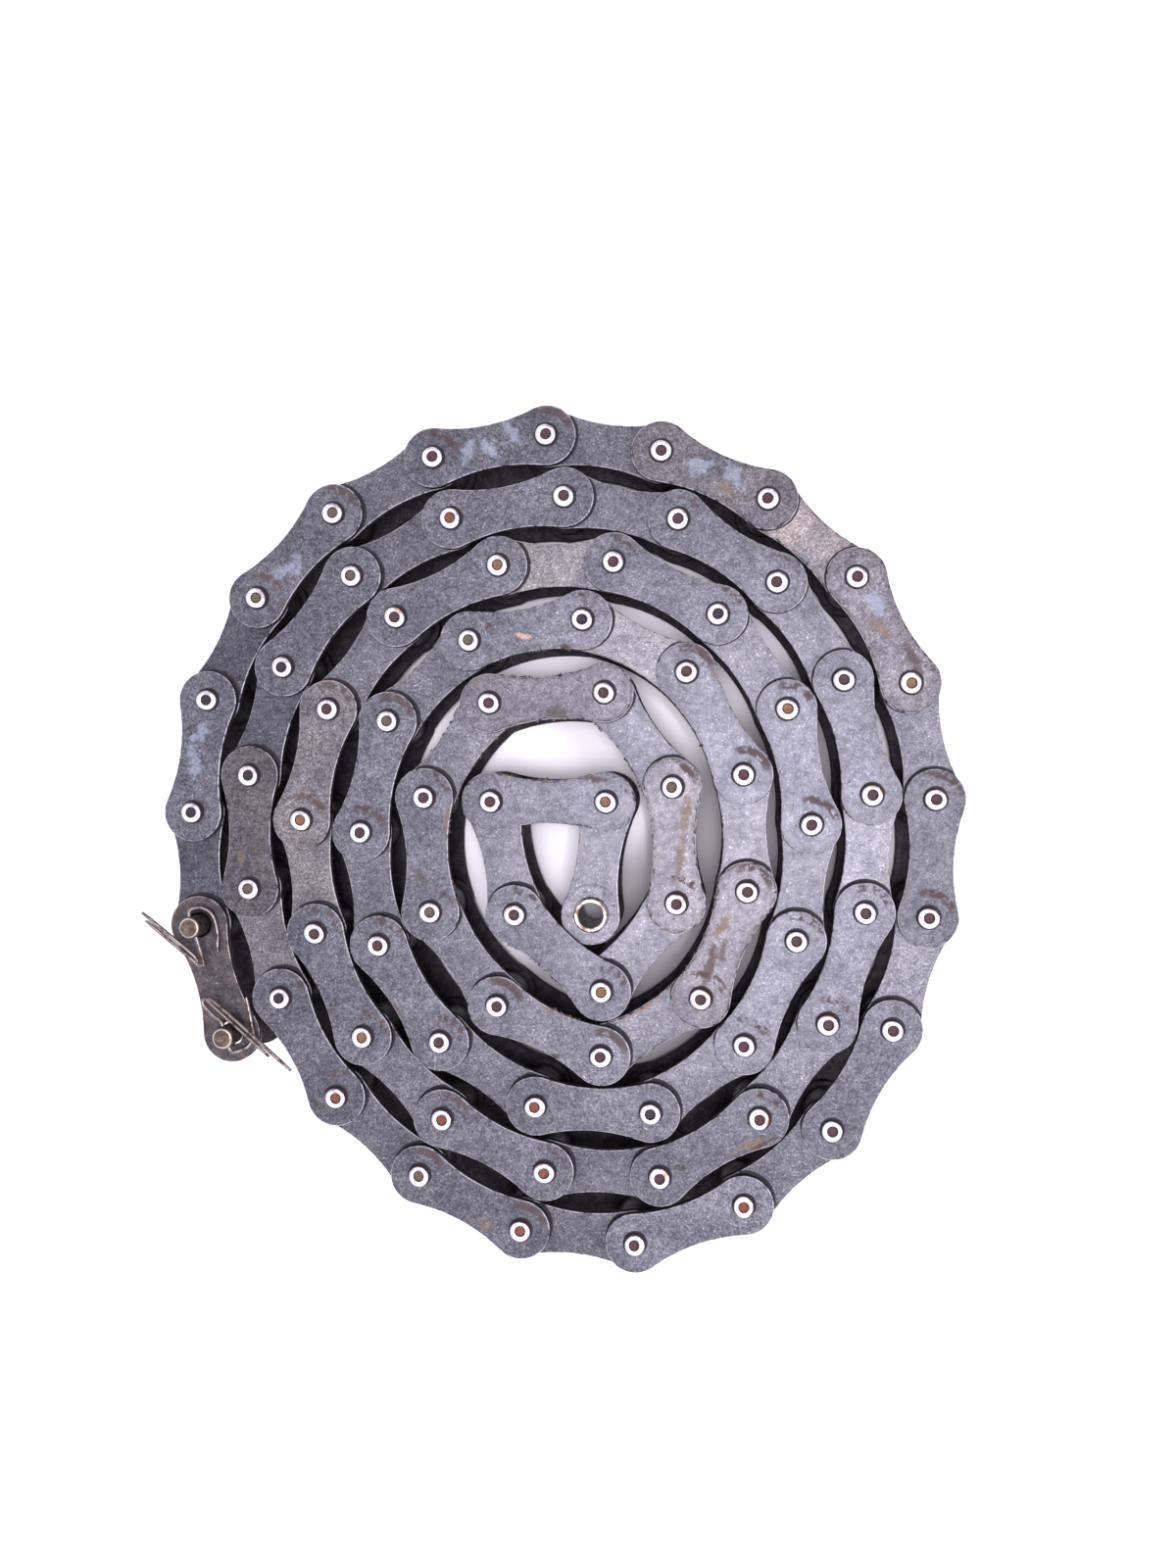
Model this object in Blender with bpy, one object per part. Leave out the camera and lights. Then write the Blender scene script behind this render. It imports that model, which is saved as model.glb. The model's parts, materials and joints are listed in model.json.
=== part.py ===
"""Coil of agricultural roller chain, rolled up flat on its side.

The chain lies with its pins upright, so the coil rests on the lower pin ends. Link 1 is the cottered
connecting link at the free outer end, and the links run inwards from there: odd links are outer links
(two plates and two riveted pins), even links are inner links (two plates, two bushes, two rollers).
Pin 0 is the connecting link's free pin, and link number k joins pin k - 1 to pin k.

The free half turn, links 1 to 10, and the last inner link are made link by link, each with its origin
on the pin it swings about. The wound turns in between don't move, so there each outer link and the
inner link after it are one solid.
"""

from math import atan2, cos, pi, radians, sin

import bmesh
import bpy
from mathutils import Matrix, Vector

# The chain's standard sizes, in metres.
PITCH = 0.0414
INNER_WIDTH = 0.02024
ROLLER_RADIUS = 0.01778 / 2
PIN_RADIUS = 0.0080 / 2
PLATE_THICKNESS = 0.0031

# Sizes read off the photograph against the pitch.
PLATE_END_RADIUS = 0.0108
PLATE_WAIST_HALF = 0.0078
BUSH_RADIUS = 0.0122 / 2
BUSH_BORE_RADIUS = 0.0090 / 2
RIVET_HEAD_HEIGHT = 0.0020
LONG_PIN_ABOVE_COVER = 0.0095
COTTER_WIRE_RADIUS = 0.0007
CROSS_HOLE_RADIUS = 0.0013
CROSS_HOLE_ABOVE_COVER = 0.0055

# Running gaps.
PLATE_GAP = 0.0004
ROLLER_END_GAP = 0.0004
ROLLER_BORE_RADIUS = 0.0068
COVER_BORE_RADIUS = PIN_RADIUS + 0.0005
WOUND_BORE_RADIUS = 0.0047

# How finely round shapes are cut.
PIN_SIDES = 10
WOUND_PIN_SIDES = 8
ROLLER_SIDES = 12
WOUND_ROLLER_SIDES = 8
END_POINTS = 7
SMOOTH_BELOW_DEGREES = 40

# Heights above the middle of the chain.
INNER_FACE = INNER_WIDTH / 2
INNER_OUTSIDE = INNER_FACE + PLATE_THICKNESS
OUTER_FACE = INNER_OUTSIDE + PLATE_GAP
OUTER_OUTSIDE = OUTER_FACE + PLATE_THICKNESS
RIVET_TOP = OUTER_OUTSIDE + RIVET_HEAD_HEIGHT
LONG_PIN_TOP = OUTER_OUTSIDE + LONG_PIN_ABOVE_COVER
CROSS_HOLE_HEIGHT = OUTER_OUTSIDE + CROSS_HOLE_ABOVE_COVER

# The cotters' wires in the connecting link's own frame: pin 1 at the origin, pin 0 at x = PITCH.
# A run starts at the free tip, goes straight to a tight turn, back through the pin's cross hole, and
# ends hooked round the far side of the pin. The strand is the wire's other leg.
LOW = OUTER_OUTSIDE + 0.0016
COTTER_A_RUN = (
    (-0.0072, -0.0154, CROSS_HOLE_HEIGHT + 0.0020), (0.0120, -0.0033, CROSS_HOLE_HEIGHT),
    (0.0136, -0.0024, CROSS_HOLE_HEIGHT), (0.0141, -0.0009, CROSS_HOLE_HEIGHT),
    (0.0128, 0.0, CROSS_HOLE_HEIGHT), (0.0, 0.0, CROSS_HOLE_HEIGHT),
    (-0.0052, 0.0, CROSS_HOLE_HEIGHT), (-0.0064, 0.0018, CROSS_HOLE_HEIGHT - 0.0010),
    (-0.0054, 0.0046, CROSS_HOLE_HEIGHT - 0.0025), (-0.0019, 0.0066, LOW), (0.0040, 0.0066, LOW),
    (0.0114, 0.0044, LOW))
COTTER_A_STRAND = (
    (-0.0104, -0.0156, CROSS_HOLE_HEIGHT + 0.0026), (0.0094, -0.0031, CROSS_HOLE_HEIGHT + 0.0003),
    (0.0132, -0.0027, CROSS_HOLE_HEIGHT))
COTTER_B_RUN = (
    (0.0527, 0.0136, CROSS_HOLE_HEIGHT + 0.0008), (0.0286, -0.0019, CROSS_HOLE_HEIGHT),
    (0.0270, -0.0026, CROSS_HOLE_HEIGHT), (0.0264, -0.0041, CROSS_HOLE_HEIGHT),
    (0.0280, -0.0047, CROSS_HOLE_HEIGHT), (0.0330, -0.0022, CROSS_HOLE_HEIGHT),
    (0.0366, 0.0, CROSS_HOLE_HEIGHT), (0.0462, 0.0, CROSS_HOLE_HEIGHT),
    (0.0478, 0.0016, CROSS_HOLE_HEIGHT - 0.0014), (0.0476, 0.0052, LOW + 0.0006),
    (0.0452, 0.0078, LOW), (0.0419, 0.0088, LOW), (0.0303, 0.0099, LOW))
COTTER_B_STRAND = (
    (0.0598, 0.0200, CROSS_HOLE_HEIGHT + 0.0010), (0.0296, 0.0006, CROSS_HOLE_HEIGHT + 0.0003),
    (0.0273, -0.0024, CROSS_HOLE_HEIGHT))

# The lie of the coil: the direction of link 1 in degrees, then the bend to the right at each pin,
# turn by turn from the outside in, read off the photograph to the nearest degree.
FIRST_HEADING = 107
BENDS_TURN_1 = (14, 11, 19, 16, 19, 18, 19, 16, 17, 21, 15, 15, 14, 13, 18, 21, 26, 22, 15, 18)
BENDS_TURN_2 = (14, 16, 18, 20, 23, 19, 22, 21, 23, 20, 17, 15, 17, 23, 33, 25, 19, 20)
BENDS_TURN_3 = (18, 21, 23, 27, 25, 28, 27, 24, 19, 19, 27, 39, 31, 24)
BENDS_TURN_4 = (24, 23, 32, 34, 37, 34, 27, 25, 36, 56)
BENDS_CENTRE = (29, 33, 38, 50, 59, 34, 42, 91, 37, 102, 98)
BENDS = BENDS_TURN_1 + BENDS_TURN_2 + BENDS_TURN_3 + BENDS_TURN_4 + BENDS_CENTRE

FREE_LINKS = range(2, 11)
LAST_LINK = len(BENDS) + 1
FIRST_WOUND_LINK = 11

# Colour, metallic, roughness.
FINISHES = {
    "outer_link_steel": ((0.20, 0.21, 0.24), 0.7, 0.50),
    "inner_link_steel": ((0.26, 0.26, 0.28), 0.7, 0.52),
    "roller_steel": ((0.10, 0.10, 0.12), 0.8, 0.45),
    "cover_plate_steel": ((0.17, 0.14, 0.14), 0.6, 0.50),
    "cotter_steel": ((0.48, 0.38, 0.33), 0.9, 0.35),
}


def clear_scene():
    """Remove whatever the scene holds at the start."""
    for item in list(bpy.data.objects):
        bpy.data.objects.remove(item, do_unlink=True)


def new_collection(name):
    collection = bpy.data.collections.new(name)
    bpy.context.scene.collection.children.link(collection)
    return collection


def new_material(name):
    """A Principled material from the finish of that name."""
    colour, metallic, roughness = FINISHES[name]
    material = bpy.data.materials.new(name)
    material.use_nodes = True
    shader = material.node_tree.nodes["Principled BSDF"]
    shader.inputs["Base Color"].default_value = (*colour, 1.0)
    shader.inputs["Metallic"].default_value = metallic
    shader.inputs["Roughness"].default_value = roughness
    return material


def plate_outline():
    """A link plate between pins at x = 0 and x = PITCH: two round ends and a waist.

    Each waist edge is an arc tangent to both ends, so its radius follows from the waist's width. The
    arc is cut by three straight lines, which lie as far inside it as outside."""
    half = PITCH / 2
    waist_radius = (half**2 + PLATE_WAIST_HALF**2 - PLATE_END_RADIUS**2) / (
        2 * (PLATE_END_RADIUS - PLATE_WAIST_HALF))
    tangent = atan2(PLATE_WAIST_HALF + waist_radius, -half)
    angles = [tangent * (2 * step / (END_POINTS - 1) - 1) for step in range(END_POINTS)]
    end = [Vector((half + PLATE_END_RADIUS * cos(a), PLATE_END_RADIUS * sin(a))) for a in angles]
    third = end[-1].x / 3
    set_in = third**2 / (4 * waist_radius)
    waist_y = PLATE_WAIST_HALF + waist_radius - (waist_radius**2 - third**2) ** 0.5 - set_in
    waist = [Vector((x, waist_y)) for x in (third, -third)]
    upper_half = end + waist
    return [Vector((half + side * point.x, side * point.y)) for side in (1, -1) for point in upper_half]


def circle_outline(centre, radius, sides):
    return [Vector((centre[0] + radius * cos(2 * pi * step / sides),
                    centre[1] + radius * sin(2 * pi * step / sides))) for step in range(sides)]


def heading_matrix(origin, heading):
    """Places a piece drawn along +X with its first pin at the origin."""
    return Matrix.Translation((*origin, 0.0)) @ Matrix.Rotation(heading, 4, "Z")


def flat_prism(outlines, low, high, place=Matrix()):
    """A flat shape from a filled 2D curve, between two heights. Outlines after the first are holes."""
    curve = bpy.data.curves.new("flat_shape", "CURVE")
    curve.dimensions = "2D"
    curve.fill_mode = "BOTH"
    curve.extrude = (high - low) / 2
    for outline in outlines:
        spline = curve.splines.new("POLY")
        spline.points.add(len(outline) - 1)
        for point, corner in zip(spline.points, outline):
            point.co = (corner.x, corner.y, 0.0, 1.0)
        spline.use_cyclic_u = True
    shape = bpy.data.objects.new("flat_shape", curve)
    lift = Matrix.Translation((0.0, 0.0, (low + high) / 2))
    return as_welded_mesh(shape, place @ lift)


def as_welded_mesh(shape, place):
    """Turn a curve object into a closed mesh object that stands at the given place."""
    bpy.context.scene.collection.objects.link(shape)
    depsgraph = bpy.context.evaluated_depsgraph_get()
    mesh = bpy.data.meshes.new_from_object(shape.evaluated_get(depsgraph))
    bpy.data.objects.remove(shape, do_unlink=True)
    weld = bmesh.new()
    weld.from_mesh(mesh)
    bmesh.ops.remove_doubles(weld, verts=weld.verts, dist=1e-6)
    bmesh.ops.recalc_face_normals(weld, faces=weld.faces)
    weld.to_mesh(mesh)
    weld.free()
    mesh.transform(place)
    solid = bpy.data.objects.new("solid", mesh)
    bpy.context.scene.collection.objects.link(solid)
    return solid


def cylinder(centre, radius, sides, low, high):
    """An upright cylinder."""
    mesh = bpy.data.meshes.new("cylinder")
    shape = bmesh.new()
    lift = Matrix.Translation((centre[0], centre[1], (low + high) / 2))
    bmesh.ops.create_cone(shape, cap_ends=True, segments=sides, radius1=radius, radius2=radius,
                          depth=high - low, matrix=lift)
    shape.to_mesh(mesh)
    shape.free()
    solid = bpy.data.objects.new("solid", mesh)
    bpy.context.scene.collection.objects.link(solid)
    return solid


def cross_hole(centre):
    """The cutter for the hole that a cotter passes through, lying along X."""
    solid = cylinder((0.0, 0.0), CROSS_HOLE_RADIUS, WOUND_PIN_SIDES, -2 * PIN_RADIUS, 2 * PIN_RADIUS)
    place = Matrix.Translation((centre[0], centre[1], CROSS_HOLE_HEIGHT))
    solid.data.transform(place @ Matrix.Rotation(pi / 2, 4, "Y"))
    return solid


def wire(points, radius):
    """A round wire through the points, as a closed mesh object."""
    curve = bpy.data.curves.new("wire", "CURVE")
    curve.dimensions = "3D"
    curve.bevel_depth = radius
    curve.bevel_resolution = 1
    curve.use_fill_caps = True
    spline = curve.splines.new("POLY")
    spline.points.add(len(points) - 1)
    for knot, place in zip(spline.points, points):
        knot.co = (*place, 1.0)
    return as_welded_mesh(bpy.data.objects.new("wire", curve), Matrix())


def combine(solids, cutters=()):
    """The mesh of the solids joined into one, less the cutters. The pieces themselves are used up."""
    base = solids[0]
    for operation, others in (("UNION", solids[1:]), ("DIFFERENCE", cutters)):
        for other in others:
            step = base.modifiers.new(operation.lower(), "BOOLEAN")
            step.operation = operation
            step.object = other
    depsgraph = bpy.context.evaluated_depsgraph_get()
    mesh = bpy.data.meshes.new_from_object(base.evaluated_get(depsgraph))
    for used in [*solids, *cutters]:
        bpy.data.objects.remove(used, do_unlink=True)
    return mesh


def plate_pair(face, outside, place=Matrix()):
    """The upper and lower plate of a link."""
    outline = plate_outline()
    return [flat_prism([outline], face, outside, place), flat_prism([outline], -outside, -face, place)]


def outer_link_mesh():
    """Two plates on two riveted pins, drawn from its own hinge pin at the origin along +X."""
    pins = [cylinder((x, 0.0), PIN_RADIUS, PIN_SIDES, -RIVET_TOP, RIVET_TOP) for x in (0.0, PITCH)]
    return combine(plate_pair(OUTER_FACE, OUTER_OUTSIDE) + pins)


def inner_link_mesh():
    """Two plates pressed on two bushes."""
    reach = INNER_FACE + PLATE_THICKNESS / 2
    bushes = [cylinder((x, 0.0), BUSH_RADIUS, PIN_SIDES, -reach, reach) for x in (0.0, PITCH)]
    bores = [cylinder((x, 0.0), BUSH_BORE_RADIUS, PIN_SIDES, -RIVET_TOP, RIVET_TOP)
             for x in (0.0, PITCH)]
    return combine(plate_pair(INNER_FACE, INNER_OUTSIDE) + bushes, bores)


def roller_mesh():
    """A roller, loose round its bush at the origin."""
    outside = circle_outline((0.0, 0.0), ROLLER_RADIUS, ROLLER_SIDES)
    inside = circle_outline((0.0, 0.0), ROLLER_BORE_RADIUS, PIN_SIDES)
    height = INNER_FACE - ROLLER_END_GAP
    solid = flat_prism([outside, inside], -height, height)
    mesh = solid.data
    bpy.data.objects.remove(solid, do_unlink=True)
    return mesh


def connecting_pins_mesh():
    """The connecting link's lower plate with its two long pins, each with a cross hole."""
    plate = flat_prism([plate_outline()], -OUTER_OUTSIDE, -OUTER_FACE)
    ends = (0.0, PITCH)
    pins = [cylinder((x, 0.0), PIN_RADIUS, PIN_SIDES, -RIVET_TOP, LONG_PIN_TOP) for x in ends]
    return combine([plate] + pins, [cross_hole((x, 0.0)) for x in ends])


def cover_plate_mesh():
    """The connecting link's loose upper plate, slipped over the long pins."""
    holes = [circle_outline((x, 0.0), COVER_BORE_RADIUS, PIN_SIDES) for x in (0.0, PITCH)]
    solid = flat_prism([plate_outline(), *holes], OUTER_FACE, OUTER_OUTSIDE)
    mesh = solid.data
    bpy.data.objects.remove(solid, do_unlink=True)
    return mesh


def cotter_mesh(run, strand):
    """A split cotter: one leg run through its pin, the other lying beside the long straight stretch."""
    return combine([wire(run, COTTER_WIRE_RADIUS), wire(strand, COTTER_WIRE_RADIUS)])


def chain_layout():
    """The pin places, and each link's heading, from the bends: each link is one exact pitch long."""
    headings = [radians(FIRST_HEADING)]
    for bend in BENDS:
        headings.append(headings[-1] - radians(bend))
    places = [Vector((0.0, 0.0))]
    for heading in headings:
        places.append(places[-1] + PITCH * Vector((cos(heading), sin(heading))))
    return places, headings


def wound_mesh(links, places, headings):
    """Neighbouring links of the wound turns as one solid, drawn from their first pin."""
    origin = places[links[0] - 1]
    reach = INNER_FACE + PLATE_THICKNESS / 2
    solids, bores = [], []
    for link in links:
        start, end = places[link - 1] - origin, places[link] - origin
        place = heading_matrix(start, headings[link - 1])
        if link % 2:
            solids += plate_pair(OUTER_FACE, OUTER_OUTSIDE, place)
            solids += [cylinder(pin, PIN_RADIUS, WOUND_PIN_SIDES, -RIVET_TOP, RIVET_TOP)
                       for pin in (start, end)]
        else:
            solids += plate_pair(INNER_FACE, INNER_OUTSIDE, place)
            solids += [cylinder(pin, ROLLER_RADIUS, WOUND_ROLLER_SIDES, -reach, reach)
                       for pin in (start, end)]
            bores.append(cylinder(end, WOUND_BORE_RADIUS, WOUND_PIN_SIDES, -RIVET_TOP, RIVET_TOP))
    return combine(solids, bores)


class Coil:
    """Collects the finished pieces, so that the whole coil can be centred before it is parented."""

    def __init__(self, places, headings):
        self.places = places
        self.headings = headings
        self.collection = new_collection("coil_of_roller_chain")
        self.materials = {name: new_material(name) for name in FINISHES}
        self.pieces = []
        self.parents = []

    def add(self, name, mesh, finish, pin, heading=0.0, parent=None):
        """Stand a mesh at a pin of the chain, turned to a heading."""
        piece = bpy.data.objects.new(name, mesh)
        piece.location = (*self.places[pin], RIVET_TOP)
        piece.rotation_euler = (0.0, 0.0, heading)
        mesh.materials.clear()
        mesh.materials.append(self.materials[finish])
        mesh.shade_smooth()
        mesh.set_sharp_from_angle(angle=radians(SMOOTH_BELOW_DEGREES))
        self.collection.objects.link(piece)
        self.pieces.append(piece)
        if parent:
            self.parents.append((piece, parent))
        return piece

    def towards_free_end(self, link):
        """The heading of a link seen from its own hinge pin."""
        return self.headings[link - 1] + pi

    def centre(self):
        """Bring the middle of the whole coil over the origin, then hang each piece on its parent."""
        bpy.context.view_layer.update()
        corners = [piece.matrix_world @ vertex.co for piece in self.pieces for vertex in piece.data.vertices]
        middle = Vector([(min(c[axis] for c in corners) + max(c[axis] for c in corners)) / 2
                         for axis in (0, 1)] + [0.0])
        for piece in self.pieces:
            piece.location -= middle
        bpy.context.view_layer.update()
        for piece, parent in self.parents:
            piece.parent = parent
            piece.matrix_parent_inverse = parent.matrix_world.inverted()


def add_rollers(coil, link, mesh, parent):
    """The two rollers of an inner link: side a at its own hinge pin, side b at its other pin."""
    coil.add(f"roller_{link:02d}_a", mesh, "roller_steel", link, parent=parent)
    coil.add(f"roller_{link:02d}_b", mesh, "roller_steel", link - 1, parent=parent)


def build_coil():
    places, headings = chain_layout()
    coil = Coil(places, headings)
    outer_mesh, inner_mesh, roller = outer_link_mesh(), inner_link_mesh(), roller_mesh()

    for first in range(FIRST_WOUND_LINK, LAST_LINK - 1, 2):
        links = [first, first + 1]
        name = f"wound_links_{first}_{first + 1}"
        wound = coil.add(name, wound_mesh(links, places, headings), "outer_link_steel", first - 1)
        if first == FIRST_WOUND_LINK:
            parent = wound
    last_outer = coil.add(f"outer_link_{LAST_LINK - 1}",
                          wound_mesh([LAST_LINK - 1], places, headings), "outer_link_steel", LAST_LINK - 2)

    for link in reversed(FREE_LINKS):
        heading = coil.towards_free_end(link)
        if link % 2:
            parent = coil.add(f"outer_link_{link:02d}", outer_mesh, "outer_link_steel", link, heading, parent)
        else:
            parent = coil.add(f"inner_link_{link:02d}", inner_mesh, "inner_link_steel", link, heading, parent)
            add_rollers(coil, link, roller, parent)

    heading = coil.towards_free_end(1)
    pins = coil.add("connecting_link_pins", connecting_pins_mesh(), "outer_link_steel", 1, heading, parent)
    coil.add("connecting_link_cover", cover_plate_mesh(), "cover_plate_steel", 1, heading, pins)
    coil.add("cotter_a", cotter_mesh(COTTER_A_RUN, COTTER_A_STRAND), "cotter_steel", 1, heading, pins)
    coil.add("cotter_b", cotter_mesh(COTTER_B_RUN, COTTER_B_STRAND), "cotter_steel", 1, heading, pins)

    heading = coil.headings[LAST_LINK - 1]
    end_link = coil.add(f"inner_link_{LAST_LINK}", inner_mesh, "inner_link_steel", LAST_LINK - 1, heading,
                        last_outer)
    coil.add(f"roller_{LAST_LINK}_a", roller, "roller_steel", LAST_LINK - 1, parent=end_link)
    coil.add(f"roller_{LAST_LINK}_b", roller, "roller_steel", LAST_LINK, parent=end_link)
    coil.centre()


clear_scene()
build_coil()
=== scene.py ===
"""Looks of the coil of roller chain.

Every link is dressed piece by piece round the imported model: plates, riveted pins, bushes and rollers,
and the connecting link's plates, long pins and split cotters. The pins' places are read from the
model, so each piece stands where its solid does. Pieces are drawn in their link's own frame, in which
the link's first pin is at the origin, its second pin at x = PITCH and the chain's middle at z = 0.
"""

import json
from math import atan2, cos, pi, radians, sin

import bmesh
import bpy
import numpy as np
from mathutils import Matrix, Vector


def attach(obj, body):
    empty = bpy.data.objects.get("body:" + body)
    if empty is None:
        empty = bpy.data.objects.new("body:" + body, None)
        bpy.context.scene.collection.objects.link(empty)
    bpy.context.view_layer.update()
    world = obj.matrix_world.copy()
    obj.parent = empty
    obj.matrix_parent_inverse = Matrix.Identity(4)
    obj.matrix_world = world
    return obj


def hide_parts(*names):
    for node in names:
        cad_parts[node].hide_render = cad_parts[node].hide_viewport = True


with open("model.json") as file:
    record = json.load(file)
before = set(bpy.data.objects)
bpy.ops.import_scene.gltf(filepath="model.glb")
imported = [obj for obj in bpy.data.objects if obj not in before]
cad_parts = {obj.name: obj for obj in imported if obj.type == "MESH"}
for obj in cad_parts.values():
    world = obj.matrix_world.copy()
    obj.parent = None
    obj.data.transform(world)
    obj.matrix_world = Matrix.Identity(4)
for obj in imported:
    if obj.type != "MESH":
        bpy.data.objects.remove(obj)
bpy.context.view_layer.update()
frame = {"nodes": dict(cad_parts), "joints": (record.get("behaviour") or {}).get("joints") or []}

# The chain's sizes, in metres, as in the solids.
PITCH = 0.0414
INNER_WIDTH = 0.02024
ROLLER_RADIUS = 0.01778 / 2
ROLLER_BORE_RADIUS = 0.0068
ROLLER_END_GAP = 0.0004
PIN_RADIUS = 0.0080 / 2
PLATE_THICKNESS = 0.0031
PLATE_GAP = 0.0004
PLATE_END_RADIUS = 0.0108
PLATE_WAIST_HALF = 0.0078
BUSH_RADIUS = 0.0122 / 2
BUSH_BORE_RADIUS = 0.0090 / 2
COVER_BORE_RADIUS = PIN_RADIUS + 0.0005
LONG_PIN_ABOVE_COVER = 0.0095
CROSS_HOLE_ABOVE_COVER = 0.0055
CROSS_HOLE_RADIUS = 0.0013
COTTER_WIRE_RADIUS = 0.0007

# Heights above the middle of the chain.
INNER_FACE = INNER_WIDTH / 2
INNER_OUTSIDE = INNER_FACE + PLATE_THICKNESS
OUTER_FACE = INNER_OUTSIDE + PLATE_GAP
OUTER_OUTSIDE = OUTER_FACE + PLATE_THICKNESS
LONG_PIN_TOP = OUTER_OUTSIDE + LONG_PIN_ABOVE_COVER
HOLE_HEIGHT = OUTER_OUTSIDE + CROSS_HOLE_ABOVE_COVER
LOW = OUTER_OUTSIDE + 0.0016

# The plate outline's waist is an arc tangent to both round ends. The plates drawn here are truly round
# and the solids' ends have flat sides, so these are a hair smaller, to stay in the box round the solids.
HALF_PITCH = PITCH / 2
WAIST_CENTRE = PLATE_WAIST_HALF + (HALF_PITCH**2 + PLATE_WAIST_HALF**2 - PLATE_END_RADIUS**2) / (
    2 * (PLATE_END_RADIUS - PLATE_WAIST_HALF))
PLATE_INSET = 0.00014
END_RADIUS = PLATE_END_RADIUS - PLATE_INSET
WAIST_RADIUS = WAIST_CENTRE - PLATE_WAIST_HALF + PLATE_INSET

# What only the drawn pieces have: rounded and chamfered edges, and bushes a hair thinner and shorter
# than the plates' holes.
EDGE_ROUND = 0.00035
BUSH_CHAMFER = 0.0003
ROLLER_CHAMFER = 0.0007
BUSH_FIT_GAP = 0.00006
BUSH_END_GAP = 0.0001

# How finely round shapes are cut.
END_POINTS = 27
WAIST_POINTS = 9
BORE_SIDES = 32
HEAD_SIDES = 28
ROLLER_SIDES = 40
DRILL_SIDES = 20

# Millimetres in a metre.
MM = 1000.0

# The riveted head: radius and height above the plate, from the middle of its dimple to its foot.
HEAD_PROFILE = (
    (0.0, 0.00125), (0.00100, 0.00122), (0.00155, 0.00132), (0.00180, 0.00152), (0.00192, 0.00180),
    (0.00212, 0.00195), (0.00260, 0.00200), (0.00310, 0.00193), (0.00345, 0.00175), (0.00368, 0.00148),
    (0.00378, 0.00115), (0.00380, 0.00045), (0.00396, 0.00012), (0.00400, -0.00010))

# How uneven the heads are: the dimple's usual shift and how far out it still acts, in metres, and the
# head's usual share of stretch.
DIMPLE_SHIFT = 0.00012
DIMPLE_REACH = 0.0026
DIMPLE_BLEND = 0.0008
HEAD_STRETCH = 0.018

# The cotters' wires as the solids have them: the connecting link's hinge pin is at the origin and its
# free pin at x = PITCH.
COTTER_A_RUN = (
    (-0.0072, -0.0154, HOLE_HEIGHT + 0.0020), (0.0120, -0.0033, HOLE_HEIGHT),
    (0.0136, -0.0024, HOLE_HEIGHT), (0.0141, -0.0009, HOLE_HEIGHT),
    (0.0128, 0.0, HOLE_HEIGHT), (0.0, 0.0, HOLE_HEIGHT),
    (-0.0052, 0.0, HOLE_HEIGHT), (-0.0064, 0.0018, HOLE_HEIGHT - 0.0010),
    (-0.0054, 0.0046, HOLE_HEIGHT - 0.0025), (-0.0019, 0.0066, LOW), (0.0040, 0.0066, LOW),
    (0.0114, 0.0044, LOW))
COTTER_A_STRAND = (
    (-0.0104, -0.0156, HOLE_HEIGHT + 0.0026), (0.0094, -0.0031, HOLE_HEIGHT + 0.0003),
    (0.0132, -0.0027, HOLE_HEIGHT))
COTTER_B_RUN = (
    (0.0527, 0.0136, HOLE_HEIGHT + 0.0008), (0.0286, -0.0019, HOLE_HEIGHT),
    (0.0270, -0.0026, HOLE_HEIGHT), (0.0264, -0.0041, HOLE_HEIGHT),
    (0.0280, -0.0047, HOLE_HEIGHT), (0.0330, -0.0022, HOLE_HEIGHT),
    (0.0366, 0.0, HOLE_HEIGHT), (0.0462, 0.0, HOLE_HEIGHT),
    (0.0478, 0.0016, HOLE_HEIGHT - 0.0014), (0.0476, 0.0052, LOW + 0.0006),
    (0.0452, 0.0078, LOW), (0.0419, 0.0088, LOW), (0.0303, 0.0099, LOW))
COTTER_B_STRAND = (
    (0.0598, 0.0200, HOLE_HEIGHT + 0.0010), (0.0296, 0.0006, HOLE_HEIGHT + 0.0003),
    (0.0273, -0.0024, HOLE_HEIGHT))

LAST_LINK = 74
SINGLE_OUTER_LINKS = (3, 5, 7, 9, 73)
FREE_LINKS = range(1, 11)

# The middle of the coil's eye, in millimetres.
EYE_MIDDLE = (3.0, 11.0)

FLOOR_SIZE = 40.0

# The camera looks straight down, a little askew.
CAMERA_PLACE = (0.0534, 0.0286, 0.4837)
CAMERA_TURN_DEGREES = (-1.06, 4.93, 0.07)
CAMERA_LENS = 29.0


def outer_link_node(link):
    """The CAD node that holds an odd link."""
    if link == 1:
        return "connecting_link_pins"
    if link in SINGLE_OUTER_LINKS:
        return f"outer_link_{link:02d}"
    return f"wound_links_{link}_{link + 1}"


def inner_link_node(link):
    """The CAD node that holds an even link."""
    if link in FREE_LINKS or link == LAST_LINK:
        return f"inner_link_{link:02d}"
    return f"wound_links_{link - 1}_{link}"


def body_of_link(link):
    return f"link_{link:02d}" if link in FREE_LINKS or link == LAST_LINK else "root"


def upper_pin_ends(node):
    """The middles of a node's two upper pin ends: its highest corners lie in two rings."""
    corners = [vertex.co for vertex in frame["nodes"][node].data.vertices]
    top = max(corner.z for corner in corners) - 0.0001
    crown = [corner.xy for corner in corners if corner.z > top]
    other = max(crown, key=lambda corner: (corner - crown[0]).length)
    middles = []
    for seed in (crown[0], other):
        ring = np.array([corner for corner in crown if (corner - seed).length < HALF_PITCH])
        middles.append(Vector((ring.min(0) + ring.max(0)) / 2))
    return middles


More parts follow.
